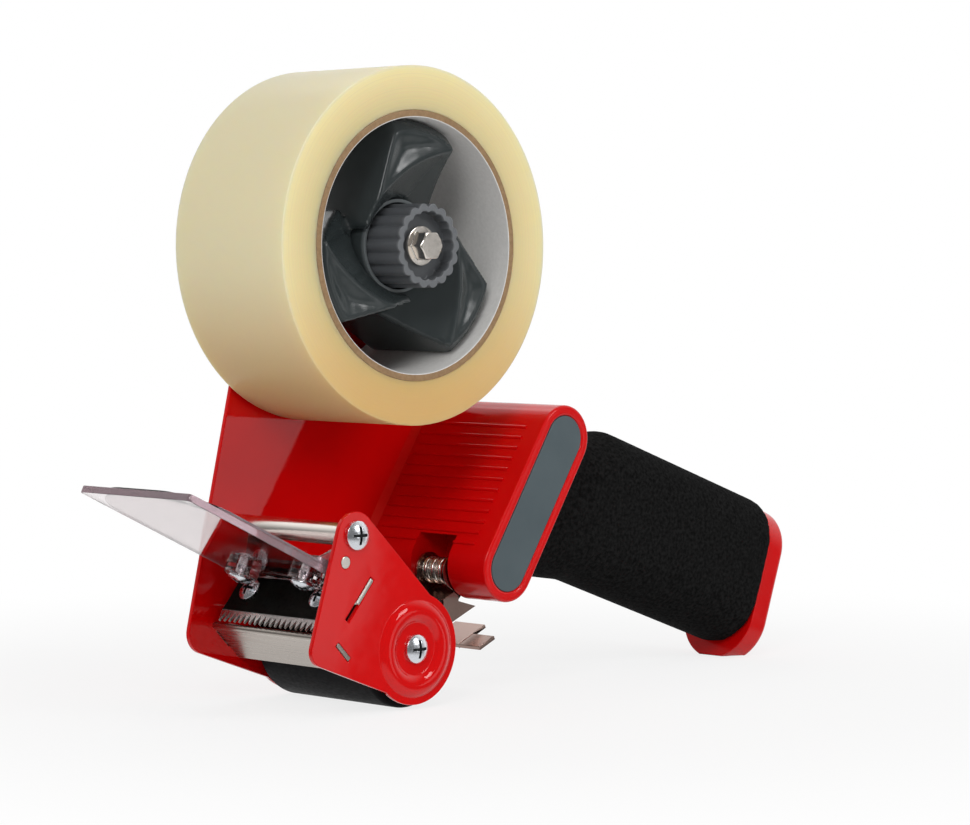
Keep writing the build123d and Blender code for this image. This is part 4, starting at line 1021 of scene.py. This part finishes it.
kraft_board = bpy.data.materials.new("kraft_board")
kraft_board.use_nodes = True
board_tree = kraft_board.node_tree
board_shader = board_tree.nodes["Principled BSDF"]
board_radius, board_place = radius_from_hub(board_tree)
board_fibre = board_tree.nodes.new("ShaderNodeTexNoise")
board_fibre.inputs["Scale"].default_value = FIBRE_SCALE
board_fibre.inputs["Detail"].default_value = FIBRE_DETAIL
board_tree.links.new(board_place, board_fibre.inputs["Vector"])
board_brown = board_tree.nodes.new("ShaderNodeValToRGB")
board_brown.color_ramp.elements[0].color = BOARD_BROWNS[0]
board_brown.color_ramp.elements[1].color = BOARD_BROWNS[1]
board_tree.links.new(board_fibre.outputs["Fac"], board_brown.inputs["Fac"])
liner_grey = board_tree.nodes.new("ShaderNodeValToRGB")
liner_grey.color_ramp.elements[0].color = LINER_GREYS[0]
liner_grey.color_ramp.elements[1].color = LINER_GREYS[1]
board_tree.links.new(board_fibre.outputs["Fac"], liner_grey.inputs["Fac"])
liner_edge = board_tree.nodes.new("ShaderNodeMath")
liner_edge.operation = "LESS_THAN"
liner_edge.inputs[1].default_value = CORE_R + LINER_WALL
board_tree.links.new(board_radius, liner_edge.inputs[0])
board_mix = board_tree.nodes.new("ShaderNodeMix")
board_mix.data_type = "RGBA"
board_tree.links.new(liner_edge.outputs[0], board_mix.inputs["Factor"])
board_tree.links.new(board_brown.outputs["Color"], board_mix.inputs["A"])
board_tree.links.new(liner_grey.outputs["Color"], board_mix.inputs["B"])
board_tree.links.new(board_mix.outputs["Result"], board_shader.inputs["Base Color"])
board_shader.inputs["Roughness"].default_value = BOARD_ROUGHNESS
turned_piece(
    "tape_core_board",
    centre=ROLL_PLACE,
    half_width=TAPE_HALF,
    inner=CORE_R,
    outer=CORE_R + CORE_WALL,
    rounding=CORE_ROUND,
    steps=CORE_STEPS,
    material=kraft_board,
    slot="board",
    node="tape_core",
)


# Tension knob: a satin grey cup with a lobed wall, on a flanged hexagon bolt that squeezes a spring
# and a washer against the hub.
KNOB_EASE = 0.0004
# Band at the knob's near rim and its paler grey: a painted highlight.
KNOB_HIGHLIGHT_BAND = (0.0276, 0.0286)
KNOB_HIGHLIGHT_GREY = (0.15, 0.158, 0.168)
BOLT_EASE = 0.00035
knob_moulding = grained(
    "knob_moulding",
    colour=(0.085, 0.091, 0.098),
    patch=(0.1, 0.106, 0.114),
    patch_scale=60,
    grain_scale=900,
    depth=0.000006,
    gloss=(0.32, 0.44),
    specular=0.4,
)
# A painted highlight: the knob's near rim is toned paler grey.
tone_along(knob_moulding, TO_NEAR_SIDE, *KNOB_HIGHLIGHT_BAND, KNOB_HIGHLIGHT_GREY)
eased_piece("tension_knob", "tension_knob_grey", KNOB_EASE, knob_moulding, "knob_plastic")
eased_piece("spindle_bolt", "spindle_bolt_head", BOLT_EASE, bright_nickel, "zinc")
frame["nodes"]["brake_washer"].material_slots[0].material = zinc_plate
frame["nodes"]["brake_spring"].material_slots[0].material = spring_steel
